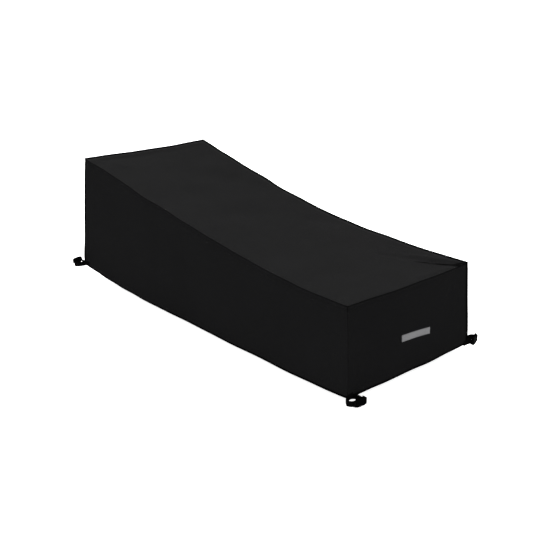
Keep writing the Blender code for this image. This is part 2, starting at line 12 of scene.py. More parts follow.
import bpy
import numpy as np
from mathutils import Matrix, Vector, noise


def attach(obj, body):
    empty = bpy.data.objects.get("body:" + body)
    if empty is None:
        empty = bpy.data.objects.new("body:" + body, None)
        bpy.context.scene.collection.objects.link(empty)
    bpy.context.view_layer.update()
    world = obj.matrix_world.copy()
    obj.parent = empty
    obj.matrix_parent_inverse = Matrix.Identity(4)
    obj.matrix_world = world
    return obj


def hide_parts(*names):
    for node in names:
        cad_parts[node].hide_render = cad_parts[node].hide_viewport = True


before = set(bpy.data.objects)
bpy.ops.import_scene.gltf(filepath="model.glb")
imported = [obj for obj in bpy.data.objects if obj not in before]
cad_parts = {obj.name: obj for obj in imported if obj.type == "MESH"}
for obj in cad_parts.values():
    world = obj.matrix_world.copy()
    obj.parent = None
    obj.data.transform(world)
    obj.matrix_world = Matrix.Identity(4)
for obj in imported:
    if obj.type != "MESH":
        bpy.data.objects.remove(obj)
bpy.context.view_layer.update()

scene = bpy.context.scene

# %% [markdown]
# ## The shape of the shell
# The panels follow the same few sizes as the solids do: where the hem and the top's edges run, how high
# they stand, and how far the walls lean. Repeating those rules here, rather than copying points, lets the
# cloth be divided as finely as its seams need while it still lies where its solid lies.
# Every function takes whole arrays of numbers, so that thousands of points are placed at once.

# %% Sizes of the shell, in metres
HALF_LENGTH, HALF_WIDTH = 1.00, 0.375
HEAD_HEIGHT, FOOT_HEIGHT = 0.701, 0.40
HEAD_TOP_X, FOOT_TOP_X = -0.906, 0.976
SIDE_SETBACK_HEAD, SIDE_SETBACK_FOOT = -0.007, 0.012
HEAD_LEAN_POWER, FOOT_LEAN_POWER, UPRIGHT_SHARE = 1.0, 1.3, 0.08
SLOPE_POWER = 1.91
NEAR_FULLNESS, FULLNESS_SHARE = 0.026, 0.86
NEAR_CORNER_DROP, DROP_SHARE = 0.012, 0.12
TOP_SAG = 0.006
HEM_HEIGHT = 0.028
HEAD_HEM_LIFT, HEAD_LIFT_POWER = 0.050, 2.9
FOOT_HEM_LIFT, FOOT_LIFT_POWER = 0.012, 7.0
END_HEM_SAG = 0.0045
HEAD_CORNER_ASIDE, ASIDE_POWER = 0.009, 4
HEAD_CORNER_OUT, OUT_POWER = 0.014, 3
CLOTH, GAP = 0.002, 0.0003
SEAM_ROLL, SEAM_ROLL_WIDTH = 0.0015, 0.010
FOLD_FADE, SLOPE_STEP = 0.030, 0.010
FAR_RISES = (
    # middle  to_head  to_foot  height
    (-0.470,  0.400,   0.290,   0.0122),
    (0.800,   0.300,   0.160,   0.0090),
)


# %% Where the hem and the top's edges run
def smooth(share):
    share = np.clip(share, 0.0, 1.0)
    return share * share * (3 - 2 * share)


def mix(low, high, share):
    return low + (high - low) * share


def length_share(x):
    return np.clip((x - HEAD_TOP_X) / (FOOT_TOP_X - HEAD_TOP_X), 0.0, 1.0)


def top_half_width(x):
    return HALF_WIDTH - mix(SIDE_SETBACK_HEAD, SIDE_SETBACK_FOOT, length_share(x))


def hem_half_width(x):
    return HALF_WIDTH + HEAD_CORNER_ASIDE * np.clip(-x / HALF_LENGTH, 0.0, 1.0) ** ASIDE_POWER


def hem_reach(direction, y):
    corner_out = HEAD_CORNER_OUT if direction < 0 else 0.0
    corner_y = hem_half_width(direction * HALF_LENGTH)
    return HALF_LENGTH + corner_out * np.minimum(np.abs(y) / corner_y, 1.0) ** OUT_POWER


def side_hem_height(x):
    along = np.minimum(np.abs(x / HALF_LENGTH), 1.0)
    head = HEAD_HEM_LIFT * along ** HEAD_LIFT_POWER
    foot = FOOT_HEM_LIFT * along ** FOOT_LIFT_POWER
    return HEM_HEIGHT + np.where(np.asarray(x) < 0, head, foot)


def end_hem_height(direction, y):
    sag = END_HEM_SAG * np.maximum(1 - (y / HALF_WIDTH) ** 2, 0.0)
    return side_hem_height(direction * HALF_LENGTH) - sag


# %% [markdown]
# ## The main folds
# The cover hangs almost smooth. A crease runs back over the top from the far foot corner, a soft roll lies
# just inside both short edges, and the long walls billow a little. These are the solids' own folds, given
# as short tables: a straight line or a place, a width and a height.

# %% Folds that the solids have too
TOP_FOLDS = (
    # from_x  from_y   to_x    to_y   half_width  height
    (0.660,   0.176,   0.865,  0.266, 0.018,     -0.0042),
    (0.865,   0.266,   0.970,  0.335, 0.012,     -0.0055),
    (0.760,   0.258,   0.935,  0.338, 0.016,      0.0036),
    (0.945,   0.080,   0.965,  0.290, 0.016,      0.0025),
    (-0.872, -0.330,  -0.872,  0.330, 0.014,      0.0030),
    (-0.840, -0.300,  -0.830,  0.200, 0.022,     -0.0025),
    (-0.860, -0.345,  -0.720, -0.250, 0.022,      0.0030),
    (-0.030, -0.060,   0.030,  0.060, 0.060,     -0.0040),
    (0.170,   0.235,   0.260,  0.300, 0.045,     -0.0045),
    (-0.480,  0.180,  -0.300,  0.260, 0.060,     -0.0040),
)
WALL_FOLDS = {
    # along   lean    low   high  half_width  depth
    "near": (
        (-0.700,  0.060, 0.55,  0.97, 0.110,      -0.0045),
        (-0.420,  0.040, 0.10,  0.80, 0.120,       0.0040),
        (-0.080, -0.030, 0.05,  0.75, 0.140,      -0.0035),
        (0.280,   0.030, 0.00,  0.70, 0.130,       0.0045),
        (0.620,  -0.030, 0.10,  0.85, 0.110,      -0.0030),
    ),
    "far": (
        (-0.620, -0.050, 0.25,  0.95, 0.120,      -0.0040),
        (-0.300,  0.030, 0.05,  0.75, 0.130,       0.0045),
        (0.060,  -0.020, 0.10,  0.80, 0.120,      -0.0030),
        (0.400,   0.030, 0.00,  0.75, 0.130,       0.0040),
        (0.700,   0.020, 0.15,  0.85, 0.090,      -0.0030),
    ),
    "head": (
        (-0.120,  0.030, 0.15,  0.90, 0.090,      -0.0040),
        (0.140,  -0.020, 0.10,  0.85, 0.080,       0.0035),
    ),
    "foot": (
        (-0.150,  0.020, 0.20,  0.85, 0.070,       0.0025),
        (0.060,  -0.020, 0.15,  0.85, 0.080,      -0.0025),
        (0.250,   0.040, 0.35,  0.98, 0.050,      -0.0030),
    ),
}
FADE_LOW, FADE_HIGH, FADE_TOP, FADE_EDGE = 0.30, 0.25, 0.06, 0.12
LOW_SHIFT, HIGH_SHIFT = 0.5, 0.2


def line_distance(x, y, from_x, from_y, to_x, to_y):
    """Distance to a straight line between two points, and the share of it that is nearest."""
    run_x, run_y = to_x - from_x, to_y - from_y
    share = np.clip(((x - from_x) * run_x + (y - from_y) * run_y) / (run_x ** 2 + run_y ** 2), 0.0, 1.0)
    return np.hypot(x - from_x - run_x * share, y - from_y - run_y * share), share


def fold_height(x, y):
    total = 0.0
    for *line, half_width, height in TOP_FOLDS:
        distance, _ = line_distance(x, y, *line)
        total = total + height * np.exp(-(distance / half_width) ** 2)
    return total


def wall_fold(name, along, share, reach):
    total = 0.0
    for place, lean, low, high, half_width, depth in WALL_FOLDS[name]:
        middle = place + lean * (share - 0.5)
        fade = smooth((share - low) / FADE_LOW + LOW_SHIFT)
        fade = fade * smooth((high - share) / FADE_HIGH + HIGH_SHIFT)
        total = total + depth * fade * np.exp(-((along - middle) / half_width) ** 2)
    return total * smooth((reach - np.abs(along)) / FADE_EDGE) * smooth((1 - share) / FADE_TOP)


# %% The surfaces of the top and the walls
# The laid cloth's thickness, how far the walls reach into the top and the end walls into the long ones,
# and how far the top reaches over the walls.
LAID, SEWN_IN, SEWN_ASIDE, OVERHANG = 0.0018, 0.0006, 0.0014, 0.0008


def far_rise(x):
    return sum(height * np.exp(-((x - middle) / np.where(x < middle, to_head, to_foot)) ** 2)
               for middle, to_head, to_foot, height in FAR_RISES)


def seam_height(x, near):
    share = length_share(x)
    slope = FOOT_HEIGHT + (HEAD_HEIGHT - FOOT_HEIGHT) * (1 - share) ** SLOPE_POWER
    fullness = NEAR_FULLNESS * np.sin(math.pi * np.minimum(share / FULLNESS_SHARE, 1.0))
    near_part = fullness - NEAR_CORNER_DROP * (1 - smooth(share / DROP_SHARE))
    return slope + near * near_part + (1 - near) * far_rise(x)


def top_height(x, y):
    half_width = top_half_width(x)
    across = np.clip(y / half_width, -1.0, 1.0)
    inner = np.minimum(half_width - np.abs(y), np.minimum(x - HEAD_TOP_X, FOOT_TOP_X - x))
    height = seam_height(x, (1 - across) / 2) - TOP_SAG * (1 - across ** 2)
    height = height + fold_height(x, y) * smooth(inner / FOLD_FADE)
    return height - SEAM_ROLL * (1 - smooth(inner / SEAM_ROLL_WIDTH))


def under_top(x, y, inward_x, inward_y):
    """Where a wall's upper edge ends, sewn a little way into the top panel's underside."""
    here = top_height(x, y)
    into = (top_height(x + inward_x * SLOPE_STEP, y + inward_y * SLOPE_STEP) - here) / SLOPE_STEP
    aside = (top_height(x - inward_y * SLOPE_STEP, y + inward_x * SLOPE_STEP) - here) / SLOPE_STEP
    return here - LAID * np.sqrt(1 + into ** 2 + aside ** 2) + SEWN_IN


def setback(share, along):
    power = mix(HEAD_LEAN_POWER, FOOT_LEAN_POWER, along)
    return (np.maximum(share - UPRIGHT_SHARE, 0.0) / (1 - UPRIGHT_SHARE)) ** power


def top_surface(along, across):
    x = mix(HEAD_TOP_X - OVERHANG, FOOT_TOP_X + OVERHANG, along)
    y = (2 * across - 1) * (top_half_width(x) + OVERHANG)
    return x, y, top_height(x, y)


def side_surface(name, direction, along, up):
    lean = setback(up, along)
    hem_x = mix(-HALF_LENGTH - HEAD_CORNER_OUT, HALF_LENGTH, along)
    top_x = mix(HEAD_TOP_X, FOOT_TOP_X, along)
    high = under_top(top_x, direction * top_half_width(top_x), 0.0, -direction)
    y = mix(hem_half_width(hem_x), top_half_width(top_x), lean) + wall_fold(name, hem_x, up, HALF_LENGTH)
    return mix(hem_x, top_x, lean), direction * y, mix(side_hem_height(hem_x), high, up)


def end_surface(name, direction, across, up):
    lean = setback(up, 0.0 if direction < 0 else 1.0)
    top_x = HEAD_TOP_X if direction < 0 else FOOT_TOP_X
    corner_y = hem_half_width(direction * HALF_LENGTH)
    bow = OUT_POWER * (hem_reach(direction, corner_y) - HALF_LENGTH) / corner_y
    y = (2 * across - 1) * (mix(corner_y, top_half_width(top_x), lean) - LAID * (1 + bow) + SEWN_ASIDE)
    high = under_top(top_x, y, -direction, 0.0)
    out = mix(hem_reach(direction, y), abs(top_x), lean) + wall_fold(name, y, up, HALF_WIDTH)
    return direction * out, y, mix(end_hem_height(direction, y), high, up)


seam_heights = [round(float(seam_height(x, 1.0)), 3) for x in np.linspace(HEAD_TOP_X, FOOT_TOP_X, 5)]
print("near top seam's heights, head to foot:", seam_heights)

# %% [markdown]
# ## Fine relief of sewn cloth
# Seen close, this cloth isn't smooth. A seam draws it into short ripples that die out within a few
# centimetres, the hem is a folded double band that stands a little proud, and handling leaves shallow
# billows. A rolled bead runs along every sewn edge, fuller on some seams than on others. Creases are placed
# one by one, each as a line of points with a width and a height, because a few creases in the right places
# say more than noise all over. The distance to the pinched folds at the far foot corner is kept as well,
# as the finish paints shade into them.

# %% Creases listed one by one, in metres over each panel
NOWHERE = 9.0
CREASE_ENDS, CREASE_SWELL = (0.06, 0.94), 0.8
CREASES = {
    # each crease: its points (x, y or z), then its half width and its height
    "top": (
        (((0.765, 0.193), (0.870, 0.248), (0.924, 0.279), (0.966, 0.302)), 0.009, -0.0048),
        (((0.740, 0.222), (0.838, 0.262), (0.905, 0.304)), 0.007, -0.0018),
        (((0.840, 0.276), (0.900, 0.308), (0.955, 0.338)), 0.010, 0.0026),
        (((0.770, 0.285), (0.870, 0.318), (0.960, 0.352)), 0.008, 0.0014),
        (((0.850, 0.335), (0.910, 0.345), (0.966, 0.356)), 0.007, -0.0016),
        (((0.560, 0.300), (0.680, 0.312), (0.800, 0.330)), 0.014, -0.0012),
        (((-0.876, -0.300), (-0.880, -0.100), (-0.878, 0.150)), 0.006, 0.0012),
        (((-0.862, -0.220), (-0.860, 0.020), (-0.864, 0.260)), 0.009, -0.0014),
        (((-0.890, -0.350), (-0.810, -0.300), (-0.700, -0.280)), 0.012, -0.0016),
        (((-0.885, 0.345), (-0.820, 0.290), (-0.740, 0.270)), 0.011, -0.0012),
        (((-0.450, 0.260), (-0.380, 0.170), (-0.360, 0.060)), 0.020, -0.0012),
        (((0.930, -0.340), (0.880, -0.290), (0.800, -0.270)), 0.011, -0.0012),
    ),
    "near": (
        (((-0.880, 0.600), (-0.760, 0.560), (-0.620, 0.520)), 0.020, -0.0014),
        (((0.975, 0.070), (0.930, 0.130), (0.880, 0.210)), 0.014, -0.0016),
        (((0.985, 0.110), (0.960, 0.200), (0.945, 0.300)), 0.012, 0.0012),
        (((-0.985, 0.110), (-0.930, 0.180), (-0.850, 0.240)), 0.016, -0.0018),
        (((-0.960, 0.160), (-0.900, 0.330), (-0.870, 0.480)), 0.018, 0.0014),
        (((-0.250, 0.060), (-0.210, 0.190), (-0.215, 0.300)), 0.024, 0.0014),
        (((0.450, 0.050), (0.470, 0.160), (0.440, 0.260)), 0.022, 0.0013),
    ),
    "far": (
        (((0.975, 0.070), (0.930, 0.140), (0.860, 0.190)), 0.014, -0.0016),
        (((-0.985, 0.110), (-0.920, 0.190), (-0.830, 0.230)), 0.016, -0.0018),
        (((-0.500, 0.060), (-0.460, 0.200), (-0.470, 0.340)), 0.024, 0.0014),
        (((0.180, 0.050), (0.210, 0.160), (0.200, 0.280)), 0.022, 0.0013),
    ),
    "head": (
        (((-0.350, 0.120), (-0.290, 0.220), (-0.250, 0.330)), 0.014, -0.0016),
        (((0.350, 0.120), (0.300, 0.210), (0.270, 0.310)), 0.014, -0.0016),
        (((-0.020, 0.100), (0.010, 0.300), (-0.015, 0.480)), 0.024, 0.0012),
    ),
    "foot": (
        (((-0.345, 0.060), (-0.300, 0.120), (-0.270, 0.200)), 0.012, -0.0014),
        (((0.345, 0.070), (0.310, 0.150), (0.300, 0.230)), 0.012, -0.0014),
        (((0.330, 0.385), (0.260, 0.340), (0.215, 0.270)), 0.012, 0.0014),
    ),
}


def crease_height(name, a, b):
    """Sum of a panel's creases: each one swells and dies away along its own length."""
    total = 0.0
    for points, half_width, height in CREASES[name]:
        runs = [math.dist(*pair) for pair in zip(points, points[1:])]
        nearest, at = np.full(np.shape(a), NOWHERE), np.zeros(np.shape(a))
        for index, (start, end) in enumerate(zip(points, points[1:])):
            distance, share = line_distance(a, b, *start, *end)
            here = (sum(runs[:index]) + share * runs[index]) / sum(runs)
            at = np.where(distance < nearest, here, at)
            nearest = np.minimum(nearest, distance)
        taper = np.sin(math.pi * mix(*CREASE_ENDS, at)) ** CREASE_SWELL
        total = total + height * taper * np.exp(-(nearest / half_width) ** 2)
    return total


# %% Ripples at the seams, shallow billows and the folded hem
noise_at = np.vectorize(lambda x, y, z: noise.noise(Vector((x, y, z))), otypes=[float])
RIPPLES_PER_METRE, RIPPLES_ACROSS, RIPPLE_HEIGHT = 34, 9, 0.0008
RIPPLE_START, RIPPLE_REACH = 0.004, 0.022
BILLOWS_PER_METRE, BILLOW_HEIGHT = 5.5, 0.0012
CRUMPLES_PER_METRE, CRUMPLE_HEIGHT = 19, 0.00035
SEAM_CALM, HEM_CALM = 0.012, 0.030
HEM_DEPTH, HEM_PROUD, HEM_STEP = 0.025, 0.0008, 0.0015
BEAD_INSET, BEAD_HALF_WIDTH, BEAD_SPREAD = 0.0030, 0.0012, 0.35
BEADS = {
    # each sewn edge, as the panel's grid meets it: height of the bead, how wide the painted shade at its
    # turn is
    "top": ((0.0048, 3.2), (0.0018, 0.2), (0.0048, 3.0), (0.0018, 0.2)),
    "near": ((0.0026, 2.4), (0.0006, 0.05)),
    "far": ((0.0014, 1.2), (0.0022, 2.0)),
    "head": ((0.0018, 1.4), (0.0018, 1.4)),
    "foot": ((0.0006, 0.05), (0.0020, 2.2)),
}
DRIFT, DRIFT_PER_METRE = 0.0042, 6.0
CORNER_HEIGHT, CORNER_HELD, CORNER_FADE = 0.05, 0.06, 0.12
TUCK_DEPTH, TUCK_INSET, TUCK_HALF_WIDTH = 0.0016, 0.0100, 0.0065
PULLS_PER_METRE, PULL_SPREAD = 5, 0.8
AXIS_SEED, EDGE_SEED, PULL_SEED, CRUMPLE_SEED = 40, 7.3, 5, 31
STITCH_INSET, STITCH_DENT, DENT_HALF_WIDTH = 0.0078, 0.00035, 0.0012
HEM_ROWS = (0.004, HEM_DEPTH - 0.003)
PINCH_START, PINCH_GROWTH, PINCH_LEAST = 0.780, 0.110, 0.02
PINCHES = (
    # folds drawn in at the far foot corner, where the finish paints shade, as points (x, y)
    ((0.800, 0.212), (0.870, 0.248), (0.924, 0.279), (0.972, 0.306)),
    ((0.950, 0.300), (0.962, 0.325), (0.974, 0.350)),
)


def drifted(place):
    """The whole shell wanders by a millimetre or two, save where the loops are sewn at the hem's corners."""
    x, y, z = np.moveaxis(place, 2, 0)
    corner = np.sqrt((HALF_LENGTH - abs(x)) ** 2 + (HALF_WIDTH - abs(y)) ** 2 + (z - CORNER_HEIGHT) ** 2)
    spot = [part * DRIFT_PER_METRE for part in (x, y, z)]
    drift = np.stack([noise_at(*spot[:2], spot[2] + AXIS_SEED * axis) for axis in range(3)], axis=2)
    return place + DRIFT * drift * smooth((corner - CORNER_HELD) / CORNER_FADE)[..., None]


def bump(distance, at, half_width):
    return np.exp(-((distance - at) / half_width) ** 2)


def pinch_distance(x, y):
    """Distance to the pinched folds, stretched towards their head end so that their shade dies out there."""
    nearest = np.full(np.shape(x), NOWHERE)
    for points in PINCHES:
        for start, end in zip(points, points[1:]):
            distance, _ = line_distance(x, y, *start, *end)
            nearest = np.minimum(nearest, distance)
    return nearest / np.maximum(smooth((x - PINCH_START) / PINCH_GROWTH), PINCH_LEAST)


def relief(key, seed, plan, run, rise):
    """How far the fine surface stands out, and the distances that its finish follows."""
    ends = [run, run[-1] - run]
    under = rise[:, -1:] - rise
    sewn = ends + [under] + ([rise] if key == "top" else [])
    seam = np.minimum.reduce(sewn)
    # Each sewn edge's distance, scaled by how wide the painted shade at its turn is.
    turned = np.minimum.reduce([edge / wide for edge, (_, wide) in zip(sewn, BEADS[key])])
    bead = np.maximum.reduce([high * bump(edge, BEAD_INSET, BEAD_HALF_WIDTH + BEAD_SPREAD * high)
                              for edge, (high, _) in zip(sewn, BEADS[key])])
    tucked = hem = pinched = np.full_like(seam, NOWHERE)
    if key == "top":
        pinched = pinch_distance(*plan)
    else:
        tucked, hem = under, rise
    ripple = np.zeros_like(seam)
    for index, edge in enumerate(sewn):
        along = (rise if index < len(ends) else run) * RIPPLES_PER_METRE
        waves = noise_at(along, edge * RIPPLES_ACROSS, seed + EDGE_SEED * index)
        ripple += RIPPLE_HEIGHT * waves * np.exp(-edge / RIPPLE_REACH)
    billow = BILLOW_HEIGHT * noise_at(run * BILLOWS_PER_METRE, rise * BILLOWS_PER_METRE, seed)
    crumple = noise_at(run * CRUMPLES_PER_METRE, rise * CRUMPLES_PER_METRE, seed + CRUMPLE_SEED)
    out = crease_height(key, *plan) + billow + CRUMPLE_HEIGHT * crumple
    out = out * smooth(seam / SEAM_CALM) * smooth(hem / HEM_CALM)
    out += ripple * smooth(seam / RIPPLE_START) + bead
    pull = 1 + PULL_SPREAD * noise_at(run * PULLS_PER_METRE, np.zeros_like(run), seed + PULL_SEED)
    out -= TUCK_DEPTH * pull * bump(tucked, TUCK_INSET, TUCK_HALF_WIDTH)
    out -= STITCH_DENT * bump(seam, STITCH_INSET, DENT_HALF_WIDTH)
    out += HEM_PROUD * (1 - smooth((hem - HEM_DEPTH) / HEM_STEP))
    for row in HEM_ROWS:
        out -= STITCH_DENT * bump(hem, row, DENT_HALF_WIDTH)
    return out, {"seam": turned, "tuck": tucked, "hem": hem, "pinch": pinched}


# %% [markdown]
# ## Laying the cloth
# Each panel is one grid of faces, with narrow faces beside its edges where the seams are and wider ones in
# the middle. Solidify then gives it the thickness of the cloth, inwards from its outer face. The flat
# length along and across the cloth goes into a UV map, so that the weave runs with the threads, and the
# distances to the seams and the hem go into attributes, so that the finish can paint shade and a highlight
# along them.

# %% Rows that are narrow at the edges and wide in the middle
FINE_ROW, COARSE_ROW, GROWTH = 0.0012, 0.0085, 1.22


def crowded(length):
    """Shares from 0 to 1 along a panel of this length."""
    steps = [FINE_ROW]
    while steps[-1] * GROWTH < COARSE_ROW:
        steps.append(steps[-1] * GROWTH)
    middle = length - 2 * sum(steps)
    count = max(1, round(middle / COARSE_ROW))
    places = np.cumsum([0.0] + steps + [middle / count] * count + steps[::-1])
    return places / places[-1]


def grid_faces(columns, rows):
    corner = (np.arange(columns - 1)[:, None] * rows + np.arange(rows - 1)).ravel()
    return np.stack([corner, corner + rows, corner + rows + 1, corner + 1], axis=1)


def grid_normals(place):
    along, across = np.gradient(place, axis=0), np.gradient(place, axis=1)
    normal = np.cross(along, across)
    return normal / np.linalg.norm(normal, axis=2, keepdims=True)


def lengths(place, axis):
    steps = np.linalg.norm(np.diff(place, axis=axis), axis=2)
    return np.concatenate([np.zeros_like(np.take(steps, [0], axis)), np.cumsum(steps, axis)], axis)


def run_along(points):
    """Length along a line of points, from its start."""
    return np.concatenate([[0.0], np.cumsum(np.linalg.norm(np.diff(points, axis=0), axis=1))])


def sample(at, run, values):
    """A line's values, read at these lengths from its start."""
    return np.stack([np.interp(at, run, column) for column in values.T], axis=-1)


def flat_area(place):
    """Area of the cloth that a grid of places takes, from the two diagonals of each face."""
    one, other = place[1:, 1:] - place[:-1, :-1], place[:-1, 1:] - place[1:, :-1]
    return float(np.linalg.norm(np.cross(one, other), axis=2).sum() / 2)


def mesh_object(name, points, faces, uv=None):
    mesh = bpy.data.meshes.new(name)
    mesh.from_pydata(points, [], faces)
    if uv is not None:
        layer = mesh.uv_layers.new(name="Cloth")
        index = np.empty(len(mesh.loops), dtype=np.int32)
        mesh.loops.foreach_get("vertex_index", index)
        layer.uv.foreach_set("vector", uv[index].astype(np.float32).ravel())
    mesh.shade_smooth()
    piece = bpy.data.objects.new(name, mesh)
    scene.collection.objects.link(piece)
    return piece


def mark(piece, name, values):
    attribute = piece.data.attributes.new(f"{name}_distance", "FLOAT", "POINT")
    attribute.data.foreach_set("value", values.astype(np.float32).ravel())


def thicken(piece, name, thickness):
    """Cloth of this thickness, laid inwards from the faces that are there."""
    layer = piece.modifiers.new(name, "SOLIDIFY")
    layer.thickness, layer.offset = thickness, -1


panels = {}
PLAN_AXES = {"top": (0, 1), "near": (0, 2), "far": (0, 2), "head": (1, 2), "foot": (1, 2)}


def lay_cloth(piece_name, key, seed, surface, size, flip):
    """One panel: its smooth surface, then its fine relief along the surface's own normals."""
    along, across = np.meshgrid(crowded(size[0]), crowded(size[1]), indexing="ij")
    place = drifted(np.stack(surface(1 - along if flip else along, across), axis=2))
    normal = grid_normals(place)
    run, rise = lengths(place, 0), lengths(place, 1)
    cut = (float(rise[:, -1].max()), float(run[-1].max()), flat_area(place))
    plan = [place[..., axis] for axis in PLAN_AXES[key]]
    out, distances = relief(key, seed, plan, run, rise)
    place = place + normal * out[..., None]
    faces = grid_faces(*along.shape)
    uv = np.stack([run, rise], axis=2).reshape(-1, 2)
    piece = mesh_object(piece_name, place.reshape(-1, 3), faces.tolist(), uv)
    for name, values in distances.items():
        mark(piece, name, values)
    thicken(piece, "thickness of the cloth", LAID)
    panels[key] = {"piece": piece, "place": place, "normal": normal, "run": run, "rise": rise, "cut": cut}
    print(f"{piece_name}: {len(faces)} faces, cut from {cut[0]:.3f} x {cut[1]:.3f} m, {cut[2]:.3f} m2")


# %% Lay the five panels
PANELS = (
    # piece, panel, noise seed, surface, size that sets its rows, laid from its other end or not
    ("cover_top_cloth", "top", 1.7, top_surface, (1.96, 0.76), False),
    ("cover_near_side_cloth", "near", 12.1, partial(side_surface, "near", -1), (1.96, 0.50), False),
    ("cover_far_side_cloth", "far", 23.9, partial(side_surface, "far", 1), (1.96, 0.50), True),
    ("cover_head_cloth", "head", 37.2, partial(end_surface, "head", -1), (0.76, 0.63), True),
    ("cover_foot_cloth", "foot", 41.5, partial(end_surface, "foot", 1), (0.74, 0.36), False),
)
for panel in PANELS:
    lay_cloth(*panel)

# %% [markdown]
# ## The bare patch
# A plain grey tape, 18 cm by 3 cm, is sewn on the foot panel a little out of level. It carries nothing.
# It is laid as the cloth is: a small grid that follows the foot panel's own surface, with edges turned
# under, so that they are slightly rounded.

# %% Lay the patch
PATCH_LEFT_Y, PATCH_RIGHT_Y = -0.070, 0.110
PATCH_LEFT_Z, PATCH_DROP, PATCH_HEIGHT = 0.177, 0.015, 0.029
PATCH_CLEAR, PATCH_THICKNESS, PATCH_EDGE, PATCH_EDGE_SHARE = 0.0006, 0.0010, 0.0012, 0.35
PATCH_LAYER, PATCH_COLUMNS, PATCH_ROWS = 0.0006, 61, 15
FELT_Y, FELT_Z = np.linspace(-0.08, 0.12, 11), np.linspace(0.15, 0.22, 5)


def foot_face(across_at, height_at):
    """How far out the foot panel's laid face stands, at a place across it and a height."""
    x, y, z = np.moveaxis(panels["foot"]["place"], 2, 0)
    rows = range(x.shape[1])
    heights = [np.interp(across_at, y[:, j], z[:, j]) for j in rows]
    return np.interp(height_at, heights, [np.interp(across_at, y[:, j], x[:, j]) for j in rows])


def lay_patch():
    shares = np.linspace(0, 1, PATCH_COLUMNS), np.linspace(0, 1, PATCH_ROWS)
    across, up = np.meshgrid(*shares, indexing="ij")
    y = mix(PATCH_LEFT_Y, PATCH_RIGHT_Y, across)
    z = PATCH_LEFT_Z - PATCH_DROP * across + PATCH_HEIGHT * up
    felt = np.array([[foot_face(a, b) for b in FELT_Z] for a in FELT_Y])
    by_y = np.stack([np.interp(y[:, 0], FELT_Y, column) for column in felt.T], axis=1)
    x = np.array([np.interp(heights, FELT_Z, row) for heights, row in zip(z, by_y)])
    width, height = PATCH_RIGHT_Y - PATCH_LEFT_Y, PATCH_HEIGHT
    edge = np.minimum.reduce([across * width, (1 - across) * width, up * height, (1 - up) * height])
    proud = PATCH_CLEAR + PATCH_THICKNESS * smooth(edge / PATCH_EDGE + PATCH_EDGE_SHARE)
    place = np.stack([x + proud, y, z], axis=2)
    uv = np.stack([across * width, up * height], axis=2).reshape(-1, 2)
    piece = mesh_object("bare_patch_tape", place.reshape(-1, 3), grid_faces(*y.shape).tolist(), uv)
    mark(piece, "seam", edge)
    thicken(piece, "thickness of the tape", PATCH_LAYER)
    panels["patch"] = {"piece": piece, "place": place, "normal": grid_normals(place),
                       "run": lengths(place, 0), "rise": lengths(place, 1),
                       "cut": (height, width, width * height)}


lay_patch()
print("patch:", len(panels["patch"]["piece"].data.polygons), "faces")

# %% [markdown]
# ## Stitches
# Lock stitches 3.6 mm long run beside every seam. Each is modelled as a small spindle of thread that lies
# in the dent it pulls into the cloth. One template is copied along a line at a fixed distance from an edge,
# and turned to lie on the surface, so a whole row is one mesh.

# %% A row of stitches along a panel
STITCH_STEP, STITCH_LENGTH, STITCH_WIDTH, STITCH_RISE = 0.0046, 0.0036, 0.0008, 0.0004
LOOK_AHEAD, PATCH_STITCH_INSET = 0.001, 0.0022
SHOULDER, RING = 0.28, ((0.5, 0), (0, 1), (-0.5, 0), (0, -1))
SPINDLE = np.array(
    [(-0.5, 0, 0)] + [(at, *spot) for at in (-SHOULDER, SHOULDER) for spot in RING] + [(0.5, 0, 0)]
) * (STITCH_LENGTH, STITCH_WIDTH, STITCH_RISE)
AROUND = [(k, (k + 1) % len(RING)) for k in range(len(RING))]
SPINDLE_FACES = (
    [(0, 1 + after, 1 + k) for k, after in AROUND]
    + [(1 + k, 1 + after, 5 + after, 5 + k) for k, after in AROUND]
    + [(9, 5 + k, 5 + after) for k, after in AROUND]
)


def line_on(key, axis, distance):
    """Points and normals along a panel, this far from one of its edges, or from the other if negative."""
    grid = panels[key]
    values = np.concatenate([grid["place"], grid["normal"]], axis=2)
    measure = grid["rise"]
    if axis == 0:
        values, measure = values.transpose(1, 0, 2), grid["run"].T
    return np.array([sample(distance if distance > 0 else row[-1] + distance, row, columns)
                     for row, columns in zip(measure, values)])


def sew(lines, name):
    """One mesh of stitches along several lines of points with normals."""
    points, faces = [], []
    for line in lines:
        run = run_along(line[:, :3])
        at = np.arange(STITCH_STEP, run[-1] - STITCH_STEP, STITCH_STEP)
        spots = sample(at, run, line)
        ahead = sample(at + LOOK_AHEAD, run, line[:, :3]) - spots[:, :3]
        ahead /= np.linalg.norm(ahead, axis=1, keepdims=True)
        normal = spots[:, 3:] / np.linalg.norm(spots[:, 3:], axis=1, keepdims=True)
        beside = np.cross(normal, ahead)
        axes = np.stack([ahead, beside, normal], axis=1)
        placed = spots[:, None, :3] + np.einsum("vk,nkc->nvc", SPINDLE, axes)
        first = sum(len(p) for p in points)
        points.append(placed.reshape(-1, 3))
        faces += [tuple(first + n * len(SPINDLE) + v for v in face)
                  for n in range(len(spots)) for face in SPINDLE_FACES]
    return mesh_object(name, np.concatenate(points), faces)


# %% Sew the panels
def seam_rows(key):
    across = [line_on(key, 1, -STITCH_INSET)] + [line_on(key, 0, sign * STITCH_INSET) for sign in (1, -1)]
    if key == "top":
        return across + [line_on(key, 1, STITCH_INSET)]
    return across + [line_on(key, 1, row) for row in HEM_ROWS]


stitch_pieces = {}
for key in ("top", "near", "far", "head", "foot"):
    stitch_pieces[key] = sew(seam_rows(key), f"cover_{key}_stitches")
    print(f"{key}: {len(stitch_pieces[key].data.polygons) // len(SPINDLE_FACES)} stitches")
patch_rows = [line_on("patch", axis, sign * PATCH_STITCH_INSET) for axis in (0, 1) for sign in (1, -1)]
stitch_pieces["patch"] = sew(patch_rows, "bare_patch_stitches")

